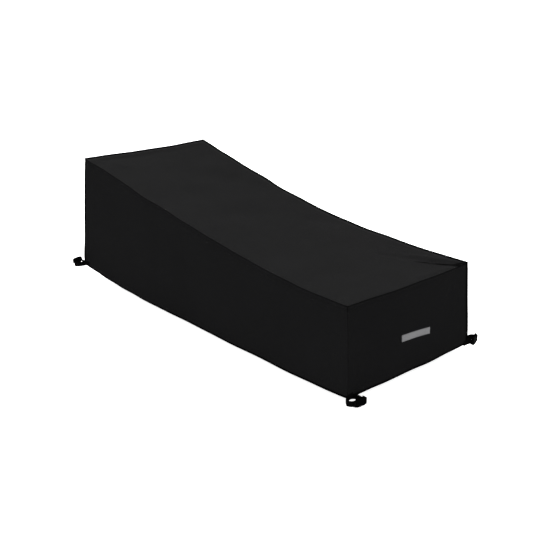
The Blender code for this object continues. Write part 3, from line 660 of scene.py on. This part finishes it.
# %% [markdown]
# ## Corner loops of webbing
# At each hem corner a short and a long strap of 25 mm webbing meet in a side-release buckle. The webbing
# stands on edge, as it hangs in real life: sewn flat at one end, curving out, round the buckle's bar and
# back. Its way is a short table of plan offsets from the hem's corner with a bend radius for each point,
# the same as the solid's, and here it gets rounded edges and many more faces along its bends.

# %% Sizes and routes of the loops
WEB_WIDTH, WEB_THICKNESS, WEB_CLEAR = 0.025, 0.0016, 0.0004
WEB_SEAT = GAP + WEB_THICKNESS / 2 + WEB_CLEAR
INNER_SEAT = -CLOTH - WEB_SEAT
BUCKLE_LENGTH, BAR = 0.0460, 0.0024
LAYER = BAR / 2 + GAP + WEB_THICKNESS / 2
LAYERS_APART = WEB_THICKNESS + 2 * GAP
TURN_RADIUS, BAR_CLEAR, SEWN_BACK, LEAD_BEND = 0.0015, 0.004, 0.009, 0.004
STRAIGHT_TURN, ARC_STEP = math.radians(4), math.radians(20)
BEND_SHARE, RUN_STEP = 0.48, 0.0025

FOLDED = {
    "buckle_from": (0.0217, -0.0180),
    "buckle_to": (0.0310, -0.0620),
    "short": (
        (WEB_SEAT, -0.0260, 0.0, -0.0055),
        (WEB_SEAT, 0.0125, 0.0032, -0.0110),
        (0.0082, 0.0125, 0.0032, -0.0230),
        (0.0160, -0.0045, 0.0060, -0.0300),
    ),
    "long": (
        (INNER_SEAT, -0.0200, 0.0, -0.0100),
        (INNER_SEAT, -0.0420, 0.0, -0.0170),
        (INNER_SEAT, -0.0600, 0.0050, -0.0290),
        (0.0190, -0.0615, 0.0060, -0.0310),
    ),
    "tail": (
        (0.0340, -0.0700, 0.0030, 0.0010),
        (0.0140, -0.0665, 0.0, 0.0030),
    ),
}
OUTWARD = {
    "buckle_from": (0.0185, 0.0120),
    "buckle_to": (0.0080, 0.0560),
    "short": (
        (WEB_SEAT, -0.0270, 0.0, -0.0055),
        (WEB_SEAT, 0.0040, 0.0060, -0.0055),
        (0.0105, 0.0080, 0.0060, -0.0010),
    ),
    "long": (
        (-0.0540, WEB_SEAT, 0.0, -0.0055),
        (-0.0250, WEB_SEAT, 0.0070, -0.0055),
        (-0.0215, 0.0500, 0.0100, -0.0030),
        (-0.0080, 0.0635, 0.0060, -0.0030),
    ),
    "tail": (
        (0.0065, 0.0660, 0.0040, 0.0030),
        (-0.0110, 0.0690, 0.0, 0.0060),
    ),
}
CORNERS = (
    # name       end side  buckle's height  lift    swing  routes
    ("foot_near", 1, -1,  -0.0310,          0.000,   0.00,  FOLDED),
    ("foot_far",  1,  1,  -0.0040,          0.000,   0.00,  OUTWARD),
    ("head_near", -1, -1,  0.0170,          0.005,   0.04,  OUTWARD),
    ("head_far",  -1,  1,  0.0060,          0.003,  -0.08,  OUTWARD),
)


# %% From a route's table to the points of the webbing's middle line
def corner_world(end, side, dx, dy, height):
    """A point by its offsets from the hem line at a corner, and by its height over the corner."""
    corner_y = hem_half_width(end * HALF_LENGTH)
    corner_x = hem_reach(end, corner_y)
    x = hem_reach(end, corner_y + dy) + dx
    y = hem_half_width(end * (corner_x + dx)) + dy
    return np.array([end * x, side * y, float(side_hem_height(end * HALF_LENGTH)) + height])


def loop_rows(low, lift, swing, routes, at_socket):
    """Rows (dx, dy, bend, height) of one strap: sewn, free, round the bar, and the long one's free end."""
    def swung(dx, dy):
        return dx + swing * max(dy - WEB_SEAT, 0.0), dy

    start = Vector(swung(*routes["buckle_from"]))
    axis = (Vector(swung(*routes["buckle_to"])) - start).normalized()
    outer = Vector((axis.y, -axis.x))
    if outer.dot(start + axis * BUCKLE_LENGTH / 2) < 0:
        outer = -outer
    middle, inward = (BAR / 2, 1) if at_socket else (BUCKLE_LENGTH - BAR / 2, -1)

    def at_bar(beyond, aside, bend):
        return (*(start + axis * (middle - inward * beyond) + outer * aside), bend, low)

    def laid(rows, base):
        return [(*swung(dx, dy), bend, base + height) for dx, dy, bend, height in rows]

    turn = [at_bar(BAR_CLEAR, -LAYER, LEAD_BEND / 2), at_bar(-LAYER, -LAYER, TURN_RADIUS),
            at_bar(-LAYER, LAYER, TURN_RADIUS), at_bar(BAR_CLEAR, LAYER, LEAD_BEND)]
    if at_socket:
        return laid(routes["short"], lift) + turn + [at_bar(SEWN_BACK, LAYERS_APART, 0.0)]
    return laid(routes["long"], lift) + turn + laid(routes["tail"], low)


def rounded(route):
    """The rows as many points, with an arc at each bend and the height changing evenly between rows."""
    points, middles = [], []
    for index, (dx, dy, bend, _) in enumerate(route):
        here, turn = Vector((dx, dy)), 0.0
        if bend > 0.0 and 0 < index < len(route) - 1:
            before, after = (Vector(route[k][:2]) - here for k in (index - 1, index + 1))
            turn = math.pi - before.angle(after)
        if turn < STRAIGHT_TURN:
            middles.append(len(points))
            points.append(here)
            continue
        cut = min(bend * math.tan(turn / 2), before.length * BEND_SHARE, after.length * BEND_SHARE)
        radius = cut / math.tan(turn / 2)
        half_way = (before.normalized() + after.normalized()).normalized()
        centre = here + half_way * radius / math.cos(turn / 2)
        first = here + before.normalized() * cut - centre
        spin = first.angle_signed(here + after.normalized() * cut - centre)
        half = math.ceil(turn / ARC_STEP)
        middles.append(len(points) + half)
        spins = [-spin * step / (2 * half) for step in range(2 * half + 1)]
        points += [centre + Matrix.Rotation(angle, 2) @ first for angle in spins]
    run = np.concatenate([[0.0], np.cumsum([(b - a).length for a, b in zip(points, points[1:])])])
    rows_at, heights = run[middles], [row[3] for row in route]
    at = [run[0]]
    for start, end in zip(run, run[1:]):
        at += list(np.linspace(start, end, max(1, math.ceil((end - start) / RUN_STEP)) + 1)[1:])
    plan = [np.interp(at, run, [p[k] for p in points]) for k in (0, 1)]
    return np.stack([*plan, np.interp(at, rows_at, heights)], axis=1)


# %% Weave each strap as a closed band with rounded edges
HALF_ROUND = [(math.sin(t), math.cos(t)) for t in np.linspace(-math.pi / 2, math.pi / 2, 5)]
BAND_ACROSS = 9


def band_profile():
    """Outline of the webbing's cut end, all the way round: heights 0 to 1 and sides -1 to 1."""
    edge = WEB_THICKNESS / 2 / WEB_WIDTH
    up = np.linspace(edge, 1 - edge, BAND_ACROSS)
    top = [(1 - edge + c * edge, s) for s, c in HALF_ROUND[1:-1]]
    bottom = [(edge - c * edge, -s) for s, c in HALF_ROUND[1:-1]]
    return np.array([(u, -1) for u in up] + top + [(u, 1) for u in up[::-1]] + bottom)


def weave_band(name, end, side, route):
    line = rounded(route)
    low = np.array([corner_world(end, side, *row) for row in line])
    ahead = np.gradient(low, axis=0)[:, :2]
    ahead /= np.linalg.norm(ahead, axis=1, keepdims=True)
    beside = np.stack([-ahead[:, 1], ahead[:, 0], np.zeros(len(ahead))], axis=1)
    profile = band_profile()
    place = low[:, None] + beside[:, None] * (profile[:, 1] * WEB_THICKNESS / 2)[None, :, None]
    place[..., 2] += profile[:, 0] * WEB_WIDTH
    around, count = len(profile), len(low)
    corner = (np.arange(count - 1)[:, None] * around + np.arange(around)).ravel()
    after = (np.arange(count - 1)[:, None] * around + (np.arange(around) + 1) % around).ravel()
    faces = np.stack([corner, after, after + around, corner + around], axis=1).tolist()
    faces += [list(range(around))[::-1], [(count - 1) * around + k for k in range(around)]]
    run = run_along(low)
    uv = np.stack(np.broadcast_arrays(run[:, None], profile[None, :, 0] * WEB_WIDTH), axis=2)
    piece = mesh_object(name, place.reshape(-1, 3), faces, uv.reshape(-1, 2))
    piece["length_m"] = float(run[-1])
    return piece, low, beside


bands = {}
for name, end, side, low, lift, swing, routes in CORNERS:
    for part in ("short", "long"):
        route = loop_rows(low, lift, swing, routes, part == "short")
        bands[f"{part}_{name}"] = weave_band(f"webbing_{part}_{name}", end, side, route)
        print(f"{name}: {part} strap {bands[f'{part}_{name}'][0]['length_m']:.3f} m")

# %% [markdown]
# ## Box stitches
# The sewn end of each strap is held by a small box of stitches with a cross in it. It is sewn on the
# webbing's outer side with the same spindle of thread as the seams.

# %% Sew the straps down
BOX_INSET, SEWN_LENGTH, BOX_POINTS = 0.003, 0.020, 9


def box_stitches(key, outward):
    """Four sides and a cross over the first two centimetres of a strap."""
    _, low, beside = bands[key]
    run = run_along(low)

    def spot(along, up):
        side = sample(along, run, beside) * outward
        return np.concatenate([sample(along, run, low) + side * WEB_THICKNESS / 2 + (0, 0, up), side])

    low_start, low_end = (BOX_INSET, BOX_INSET), (SEWN_LENGTH, BOX_INSET)
    high_start, high_end = (BOX_INSET, WEB_WIDTH - BOX_INSET), (SEWN_LENGTH, WEB_WIDTH - BOX_INSET)
    ways = ((low_start, low_end), (high_start, high_end), (low_start, high_start), (low_end, high_end),
            (low_start, high_end), (high_start, low_end))
    shares = np.linspace(0, 1, BOX_POINTS)
    return [np.array([spot(mix(p[0], q[0], t), mix(p[1], q[1], t)) for t in shares]) for p, q in ways]


# Which side of each strap faces away from the cloth, seen along the strap from its sewn end.
OUTWARD_SIDE = {"short_foot_near": -1, "long_foot_near": -1, "short_foot_far": 1, "long_foot_far": -1,
                "short_head_near": 1, "long_head_near": -1, "short_head_far": -1, "long_head_far": 1}
box_pieces = {key: sew(box_stitches(key, away), f"box_stitches_{key}") for key, away in OUTWARD_SIDE.items()}
print("box stitches on", len(box_pieces), "straps")

# %% [markdown]
# ## Shader groups
# Four effects are node groups with named inputs and outputs, so that the finishes can share them: the
# plain weave of the cloth, the slow cloudiness of its tone, painted shade along seams, under the top seam,
# at the hem and in a pinched fold with a painted highlight beside each bead, and the ribs of the webbing.
# A group gives only colours, masks and heights; each material keeps its own shader.


# %% Helpers for node groups
class Wiring:
    """Places nodes in a tree and joins them by name."""

    def __init__(self, tree):
        self.tree = tree

    def join(self, value, socket):
        self.tree.links.new(value, socket)

    def add(self, kind, **inputs):
        node = self.tree.nodes.new(kind)
        settings = inputs.pop("settings", {})
        for key, value in settings.items():
            setattr(node, key, value)
        for key, value in inputs.items():
            by_number = key[0] == "i" and key[1:].isdigit()
            socket = node.inputs[int(key[1:]) if by_number else key.replace("_", " ")]
            if isinstance(value, bpy.types.NodeSocket):
                self.join(value, socket)
            else:
                socket.default_value = value
        return node

    def math(self, operation, one, two=0.0):
        return self.add("ShaderNodeMath", settings={"operation": operation}, i0=one, i1=two).outputs[0]

    def between(self, value, low, high, to_low=0.0, to_high=1.0):
        node = self.add("ShaderNodeMapRange", settings={"interpolation_type": "SMOOTHSTEP"}, Value=value,
                        From_Min=low, From_Max=high, To_Min=to_low, To_Max=to_high)
        return node.outputs[0]

    def span(self, mask, at_none, at_full):
        """A factor that goes from one value to another as a mask goes from 0 to 1."""
        return self.between(mask, 0.0, 1.0, at_none, at_full)

    def object_place(self):
        return self.add("ShaderNodeTexCoord").outputs["Object"]

    def noise(self, place, scale, detail, roughness=0.5):
        return self.add("ShaderNodeTexNoise", Vector=place, Scale=scale, Detail=detail,
                        Roughness=roughness).outputs[0]

    def shifted(self, value, gain):
        """A noise from 0 to 1, moved round zero and scaled."""
        return self.math("MULTIPLY", self.math("SUBTRACT", value, 0.5), gain)

    def distance_to(self, line):
        settings = {"attribute_name": f"{line}_distance"}
        return self.add("ShaderNodeAttribute", settings=settings).outputs["Fac"]


def new_group(name, inputs, outputs):
    """An empty group with float inputs (name: default) and float outputs."""
    tree = bpy.data.node_groups.new(name, "ShaderNodeTree")
    for key, value in inputs.items():
        socket = tree.interface.new_socket(key, in_out="INPUT", socket_type="NodeSocketFloat")
        socket.default_value = value
    for key in outputs:
        tree.interface.new_socket(key, in_out="OUTPUT", socket_type="NodeSocketFloat")
    wiring = Wiring(tree)
    given = tree.nodes.new("NodeGroupInput").outputs
    result = tree.nodes.new("NodeGroupOutput").inputs
    return wiring, given, result


# %% Plain weave: threads that pass over and under each other
def weave_group():
    widths = {"Thread Width": 0.0006, "Slub": 0.3}
    w, given, result = new_group("Plain weave", widths, ("Height", "Thread"))
    uv = w.add("ShaderNodeUVMap", settings={"uv_map": "Cloth"}).outputs[0]
    slub = w.noise(uv, scale=420.0, detail=2.0)
    part = w.add("ShaderNodeSeparateXYZ", Vector=uv).outputs
    waves = []
    for axis in (0, 1):
        phase = w.math("DIVIDE", part[axis], given["Thread Width"])
        waves.append(w.math("SINE", w.math("MULTIPLY", phase, math.pi)))
    warp, weft = (w.math("ABSOLUTE", wave) for wave in waves)
    warp_up = w.between(w.math("MULTIPLY", *waves), -0.15, 0.15)
    mixed = w.math("ADD", w.math("MULTIPLY", warp, warp_up),
                   w.math("MULTIPLY", weft, w.math("SUBTRACT", 1.0, warp_up)))
    uneven = w.shifted(slub, given["Slub"])
    w.join(w.math("ADD", mixed, uneven), result["Height"])
    w.join(w.between(mixed, 0.2, 0.9), result["Thread"])
    return w.tree


# %% Cloudy tone: slow changes over the cloth and fine dust in its grain
NOISE_GAIN = 4.0


def tone_group():
    w, given, result = new_group("Cloudy tone", {"Cloud": 0.05, "Grain": 0.06}, ("Tone",))
    place = w.object_place()
    slow = w.noise(place, scale=3.5, detail=3.0, roughness=0.55)
    fine = w.noise(place, scale=95.0, detail=3.0, roughness=0.7)
    slow = w.shifted(slow, w.math("MULTIPLY", given["Cloud"], NOISE_GAIN))
    fine = w.shifted(fine, w.math("MULTIPLY", given["Grain"], NOISE_GAIN))
    w.join(w.math("ADD", 1.0, w.math("ADD", slow, fine)), result["Tone"])
    return w.tree


# %% Seam lines: painted shade where the cloth turns in, under the top seam, at the hem and in a pinched fold, and a painted highlight beside each bead
SHADED_LINES = (
    # line    width's input  share that is full, how dark
    ("tuck",  "Tuck Width",  0.00, 0.30),
    ("hem",   "Hem Width",   0.45, 1.00),
    ("pinch", "Pinch Width", 0.25, 0.80),
)
# How much of the turn's width gets full painted shade, and where the painted highlight beside a bead lies
# and fades.
TURN_FULL, BEAD_BEYOND, BEAD_LIT, BEAD_FADED = 0.55, 0.0028, 0.0008, 0.0040


def seam_group():
    widths = {"Turn Width": 0.0060, "Tuck Width": 0.0110, "Hem Width": 0.0130, "Pinch Width": 0.0220}
    w, given, result = new_group("Painted seam shade and highlight", widths, ("Painted Shade", "Lit"))
    broken = w.noise(w.object_place(), scale=45.0, detail=3.0)
    seam, turn = w.distance_to("seam"), given["Turn Width"]
    # Painted shade: darkest at a sewn edge's turn, and along the lines under the top seam, at the hem and in
    # the pinched fold.
    painted_shade = w.between(seam, w.math("MULTIPLY", turn, TURN_FULL), turn, 1.0, 0.0)
    for line, width, full, depth in SHADED_LINES:
        start = w.math("MULTIPLY", given[width], full)
        painted_shade = w.math("MAXIMUM", painted_shade, w.between(w.distance_to(line), start, given[width], depth, 0.0))
    w.join(painted_shade, result["Painted Shade"])
    # Painted highlight: a lighter line just beyond the dark turn, broken up by noise.
    from_bead = w.math("ABSOLUTE", w.math("SUBTRACT", seam, w.math("ADD", turn, BEAD_BEYOND)))
    bead = w.between(from_bead, BEAD_LIT, BEAD_FADED, 1.0, 0.0)
    w.join(w.math("MULTIPLY", bead, w.between(broken, 0.3, 0.7, 0.4, 1.0)), result["Lit"])
    return w.tree


# %% Webbing ribs: cross ribs between two plain woven edges
YARN_WIDTH = 0.0021


def rib_group():
    widths = {"Rib Width": 0.0013, "Web Width": WEB_WIDTH}
    w, given, result = new_group("Webbing ribs", widths, ("Height", "Edge"))
    uv = w.add("ShaderNodeUVMap", settings={"uv_map": "Cloth"}).outputs[0]
    part = w.add("ShaderNodeSeparateXYZ", Vector=uv).outputs
    column = w.math("DIVIDE", part[1], YARN_WIDTH)
    offset = w.math("FRACT", w.math("MULTIPLY", w.math("FLOOR", column), 0.5))
    row = w.math("ADD", w.math("DIVIDE", part[0], given["Rib Width"]), offset)
    rib = w.math("ABSOLUTE", w.math("SINE", w.math("MULTIPLY", row, math.pi)))
    yarn = w.math("ABSOLUTE", w.math("SINE", w.math("MULTIPLY", column, math.pi)))
    from_edge = w.math("MINIMUM", part[1], w.math("SUBTRACT", given["Web Width"], part[1]))
    edge = w.between(from_edge, 0.0012, 0.0024, 1.0, 0.0)
    rounded = w.math("ADD", 0.4, w.math("MULTIPLY", yarn, 0.6))
    w.join(w.math("MULTIPLY", rib, rounded), result["Height"])
    w.join(edge, result["Edge"])
    return w.tree


GROUPS = {"weave": weave_group(), "tone": tone_group(), "seam": seam_group(), "rib": rib_group()}
print("shader groups:", [group.name for group in GROUPS.values()])

# %% [markdown]
# ## Finishes
# The cloth is coated polyester, nearly black and dull. Its gloss is kept almost at nothing, because at a low
# angle even a faint reflection of the pale surround would be brighter than the cloth and hide its seams.
# The top is painted lighter than the walls and the ends a little darker, as painted light and shade on one
# cloth. Webbing is blacker still and ribbed. Buckles are moulded plastic with a fine grain and paler scuffs.
# The patch is grey tape.


# %% A cloth finish built from the groups
def use_group(wiring, name, **inputs):
    node = wiring.add("ShaderNodeGroup", settings={"node_tree": GROUPS[name]})
    for key, value in inputs.items():
        node.inputs[key.replace("_", " ")].default_value = value
    return node.outputs


def new_finish(name, roughness, specular):
    material = bpy.data.materials.new(name)
    material.use_nodes = True
    shader = material.node_tree.nodes["Principled BSDF"]
    shader.inputs["Roughness"].default_value = roughness
    shader.inputs["Specular IOR Level"].default_value = specular
    return material, shader, Wiring(material.node_tree)


def scaled(wiring, colour, factor):
    node = wiring.add("ShaderNodeVectorMath", settings={"operation": "SCALE"})
    node.inputs[0].default_value = colour
    wiring.join(factor, node.inputs["Scale"])
    return node.outputs[0]


def paint(wiring, shader, colour, *factors):
    """Base colour: one colour times every factor that changes over the surface."""
    product = factors[0]
    for factor in factors[1:]:
        product = wiring.math("MULTIPLY", product, factor)
    wiring.join(scaled(wiring, colour, product), shader.inputs["Base Color"])


def emboss(wiring, shader, height, strength, distance):
    node = wiring.add("ShaderNodeBump", Strength=strength, Distance=distance, Height=height)
    wiring.join(node.outputs[0], shader.inputs["Normal"])


CLOTH_GLOSS, ROUGHNESS_SWING = 0.0005, 0.08


def cloth_finish(name, colour, roughness, turn_width, lit_gain):
    material, shader, w = new_finish(name, roughness, CLOTH_GLOSS)
    weave = use_group(w, "weave", Thread_Width=0.0009)
    tone = use_group(w, "tone")["Tone"]
    seam = use_group(w, "seam", Turn_Width=turn_width)
    # Base colour: tone and weave, times the painted seam shade and the painted highlight beside each bead.
    paint(w, shader, colour, tone, w.span(weave["Thread"], 0.66, 1.15),
          w.span(seam["Painted Shade"], 1.0, 0.10), w.span(seam["Lit"], 1.0, lit_gain))
    dulled = w.between(tone, 0.7, 1.3, roughness + ROUGHNESS_SWING, roughness - ROUGHNESS_SWING)
    w.join(dulled, shader.inputs["Roughness"])
    emboss(w, shader, weave["Height"], strength=0.6, distance=0.0003)
    return material


# %% Cloth, thread and patch
# One cloth in three colours: the top is painted lighter and the ends a little darker than the sides, as
# painted light and shade.
CLOTH_KINDS = (
    # name                 colour                    roughness  painted shade's width at the turn  gain of the painted highlight beside a bead
    ("coated cloth, top", (0.0110, 0.0110, 0.0112), 0.62, 0.0060, 1.25),
    ("coated cloth, sides", (0.0063, 0.0063, 0.0065), 0.66, 0.0070, 1.05),
    ("coated cloth, ends", (0.0058, 0.0058, 0.0060), 0.66, 0.0085, 1.05),
)
TOP_FINISH, SIDE_FINISH, END_FINISH = (cloth_finish(*kind) for kind in CLOTH_KINDS)


def thread_finish(name, colour):
    material, shader, w = new_finish(name, roughness=0.60, specular=0.06)
    twist = w.add("ShaderNodeTexWave", settings={"bands_direction": "DIAGONAL"},
                  Vector=w.object_place(), Scale=700.0).outputs[1]
    paint(w, shader, colour, w.span(twist, 0.7, 1.2))
    emboss(w, shader, twist, strength=0.5, distance=0.0002)
    return material


THREAD_FINISH = thread_finish("black thread", (0.0040, 0.0040, 0.0040))
PATCH_THREAD_FINISH = thread_finish("grey thread", (0.070, 0.070, 0.072))


def patch_finish():
    material, shader, w = new_finish("grey tape", roughness=0.60, specular=0.30)
    weave = use_group(w, "weave", Thread_Width=0.0004, Slub=0.15)
    tone = use_group(w, "tone", Cloud=0.03, Grain=0.05)["Tone"]
    paint(w, shader, (0.104, 0.104, 0.107), tone, w.span(weave["Thread"], 0.86, 1.05),
          w.between(w.distance_to("seam"), 0.0, 0.0018, 0.62, 1.0))
    emboss(w, shader, weave["Height"], strength=0.4, distance=0.0002)
    return material


PATCH_FINISH = patch_finish()


# %% Webbing and buckle plastic
def webbing_finish():
    material, shader, w = new_finish("black webbing", roughness=0.75, specular=0.0012)
    ribs = use_group(w, "rib")
    tone = use_group(w, "tone", Cloud=0.05, Grain=0.12)["Tone"]
    paint(w, shader, (0.0022, 0.0022, 0.0023), tone, w.span(ribs["Height"], 0.55, 1.15),
          w.span(ribs["Edge"], 1.0, 1.25))
    emboss(w, shader, ribs["Height"], strength=0.7, distance=0.0004)
    return material


def plastic_finish():
    material, shader, w = new_finish("moulded black plastic", roughness=0.50, specular=0.0012)
    place = w.object_place()
    grain = w.add("ShaderNodeTexVoronoi", Vector=place, Scale=1500.0).outputs["Distance"]
    scuffed = w.between(w.noise(place, scale=240.0, detail=4.0, roughness=0.7), 0.58, 0.72)
    paint(w, shader, (0.0014, 0.0014, 0.0015), w.span(scuffed, 0.9, 2.0))
    w.join(w.span(scuffed, 0.40, 0.58), shader.inputs["Roughness"])
    emboss(w, shader, grain, strength=0.25, distance=0.0002)
    return material


WEBBING_FINISH = webbing_finish()
PLASTIC_FINISH = plastic_finish()

# %% [markdown]
# ## Dressing the frame
# Every new piece rides on the one body, hides the solid it stands for and takes its finish. The buckles
# keep their solids, whose shape is right already, and only get the moulded plastic.


# %% Hand each piece its finish and hide its solid
def dress(piece, finish, slot, *nodes):
    piece.data.materials.clear()
    piece.data.materials.append(finish)
    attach(piece, "root")
    if nodes:
        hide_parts(*nodes)


PANEL_FINISHES = (
    ("top", TOP_FINISH, "top_cloth", "top_panel"),
    ("near", SIDE_FINISH, "side_cloth", "side_panel_near"),
    ("far", SIDE_FINISH, "side_cloth", "side_panel_far"),
    ("head", END_FINISH, "end_cloth", "head_panel"),
    ("foot", END_FINISH, "end_cloth", "foot_panel"),
    ("patch", PATCH_FINISH, "patch", "label_patch"),
)
for key, finish, slot, node in PANEL_FINISHES:
    dress(panels[key]["piece"], finish, slot, node)
    dress(stitch_pieces[key], PATCH_THREAD_FINISH if key == "patch" else THREAD_FINISH, slot)
for key, (piece, _, _) in bands.items():
    dress(piece, WEBBING_FINISH, "webbing", f"strap_{key}")
    dress(box_pieces[key], THREAD_FINISH, "webbing")
for name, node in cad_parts.items():
    if name.startswith("buckle_"):
        node.data.materials.clear()
        node.data.materials.append(PLASTIC_FINISH)

# %% Count the sheets: the panels, the patch and the straps
print("sheets declared:", len(panels) + len(bands))

# %% [markdown]
# ## Studio
# The cover stands on a plain pale floor that curves up far behind it. A large soft light stands far behind
# the head end, a smaller one hangs overhead, and a pale surround keeps every shadow open.


# %% Floor
WHITE, FLOOR_COLOUR = (1.0, 1.0, 1.0, 1.0), (0.90, 0.90, 0.90, 1.0)
FLOOR_GLOW, SURROUND_STRENGTH = 0.85, 1.08


def pale_floor():
    finish, shader, _ = new_finish("pale floor", roughness=0.9, specular=0.1)
    shader.inputs["Base Color"].default_value = FLOOR_COLOUR
    shader.inputs["Emission Color"].default_value = WHITE
    shader.inputs["Emission Strength"].default_value = FLOOR_GLOW
    front, flat, radius, height, half_width = -14.0, 9.0, 3.0, 7.0, 16.0
    profile = [(front, 0.0), (flat, 0.0)]
    for angle in np.linspace(0.1, math.pi / 2, 12):
        profile.append((flat + radius * math.sin(angle), radius - radius * math.cos(angle)))
    profile.append((flat + radius, height))
    away = Vector((-0.71, 0.70, 0.0)).normalized()
    beside = Vector((-away.y, away.x, 0.0))
    points = [away * back + beside * aside + Vector((0, 0, up))
              for aside in (-half_width, half_width) for back, up in profile]
    count = len(profile)
    faces = [(k + 1, k, k + count, k + count + 1) for k in range(count - 1)]
    floor = mesh_object("pale_floor", points, faces)
    floor.data.materials.append(finish)


pale_floor()


# %% Lights
def area_light(name, place, look_at, size, watts):
    lamp = bpy.data.lights.new(name, "AREA")
    lamp.shape, lamp.size, lamp.energy = "SQUARE", size, watts
    holder = bpy.data.objects.new(name, lamp)
    holder.location = place
    holder.rotation_euler = (Vector(look_at) - Vector(place)).to_track_quat("-Z", "Y").to_euler()
    scene.collection.objects.link(holder)


area_light("light behind the head", (-15.0, 4.0, 12.5), (0.0, 0.0, 0.4), size=8.0, watts=4000)
area_light("overhead light", (0.9, 0.4, 4.8), (0.3, 0.0, 0.3), size=3.0, watts=50)
surround = bpy.data.worlds.new("pale surround")
surround.use_nodes = True
background = surround.node_tree.nodes["Background"].inputs
background["Color"].default_value = WHITE
background["Strength"].default_value = SURROUND_STRENGTH
scene.world = surround
scene.view_settings.view_transform = "Standard"

# %% [markdown]
# ## Camera
# The picture is square. The camera stands off the foot end's near corner, a little above the top, and looks
# down by about 19 degrees along the cover. Its three axes are given as rows: right, down and forward.

# %% Place the camera
EYE = Vector((2.68269, -2.19728, 1.37783))
RIGHT = Vector((0.66078, 0.75057, -0.00455))
DOWN = Vector((0.24357, -0.22016, -0.94456))
FORWARD = Vector((-0.70996, 0.62304, -0.32830))
LENS, SENSOR = 48.48, 36.0
lens = bpy.data.cameras.new("picture camera")
lens.lens, lens.sensor_width = LENS, SENSOR
lens.clip_start, lens.clip_end = 0.05, 100.0
camera = bpy.data.objects.new("picture camera", lens)
turn = Matrix((RIGHT, -DOWN, -FORWARD)).transposed()
camera.matrix_world = Matrix.Translation(EYE) @ turn.to_4x4()
scene.collection.objects.link(camera)
scene.camera = camera
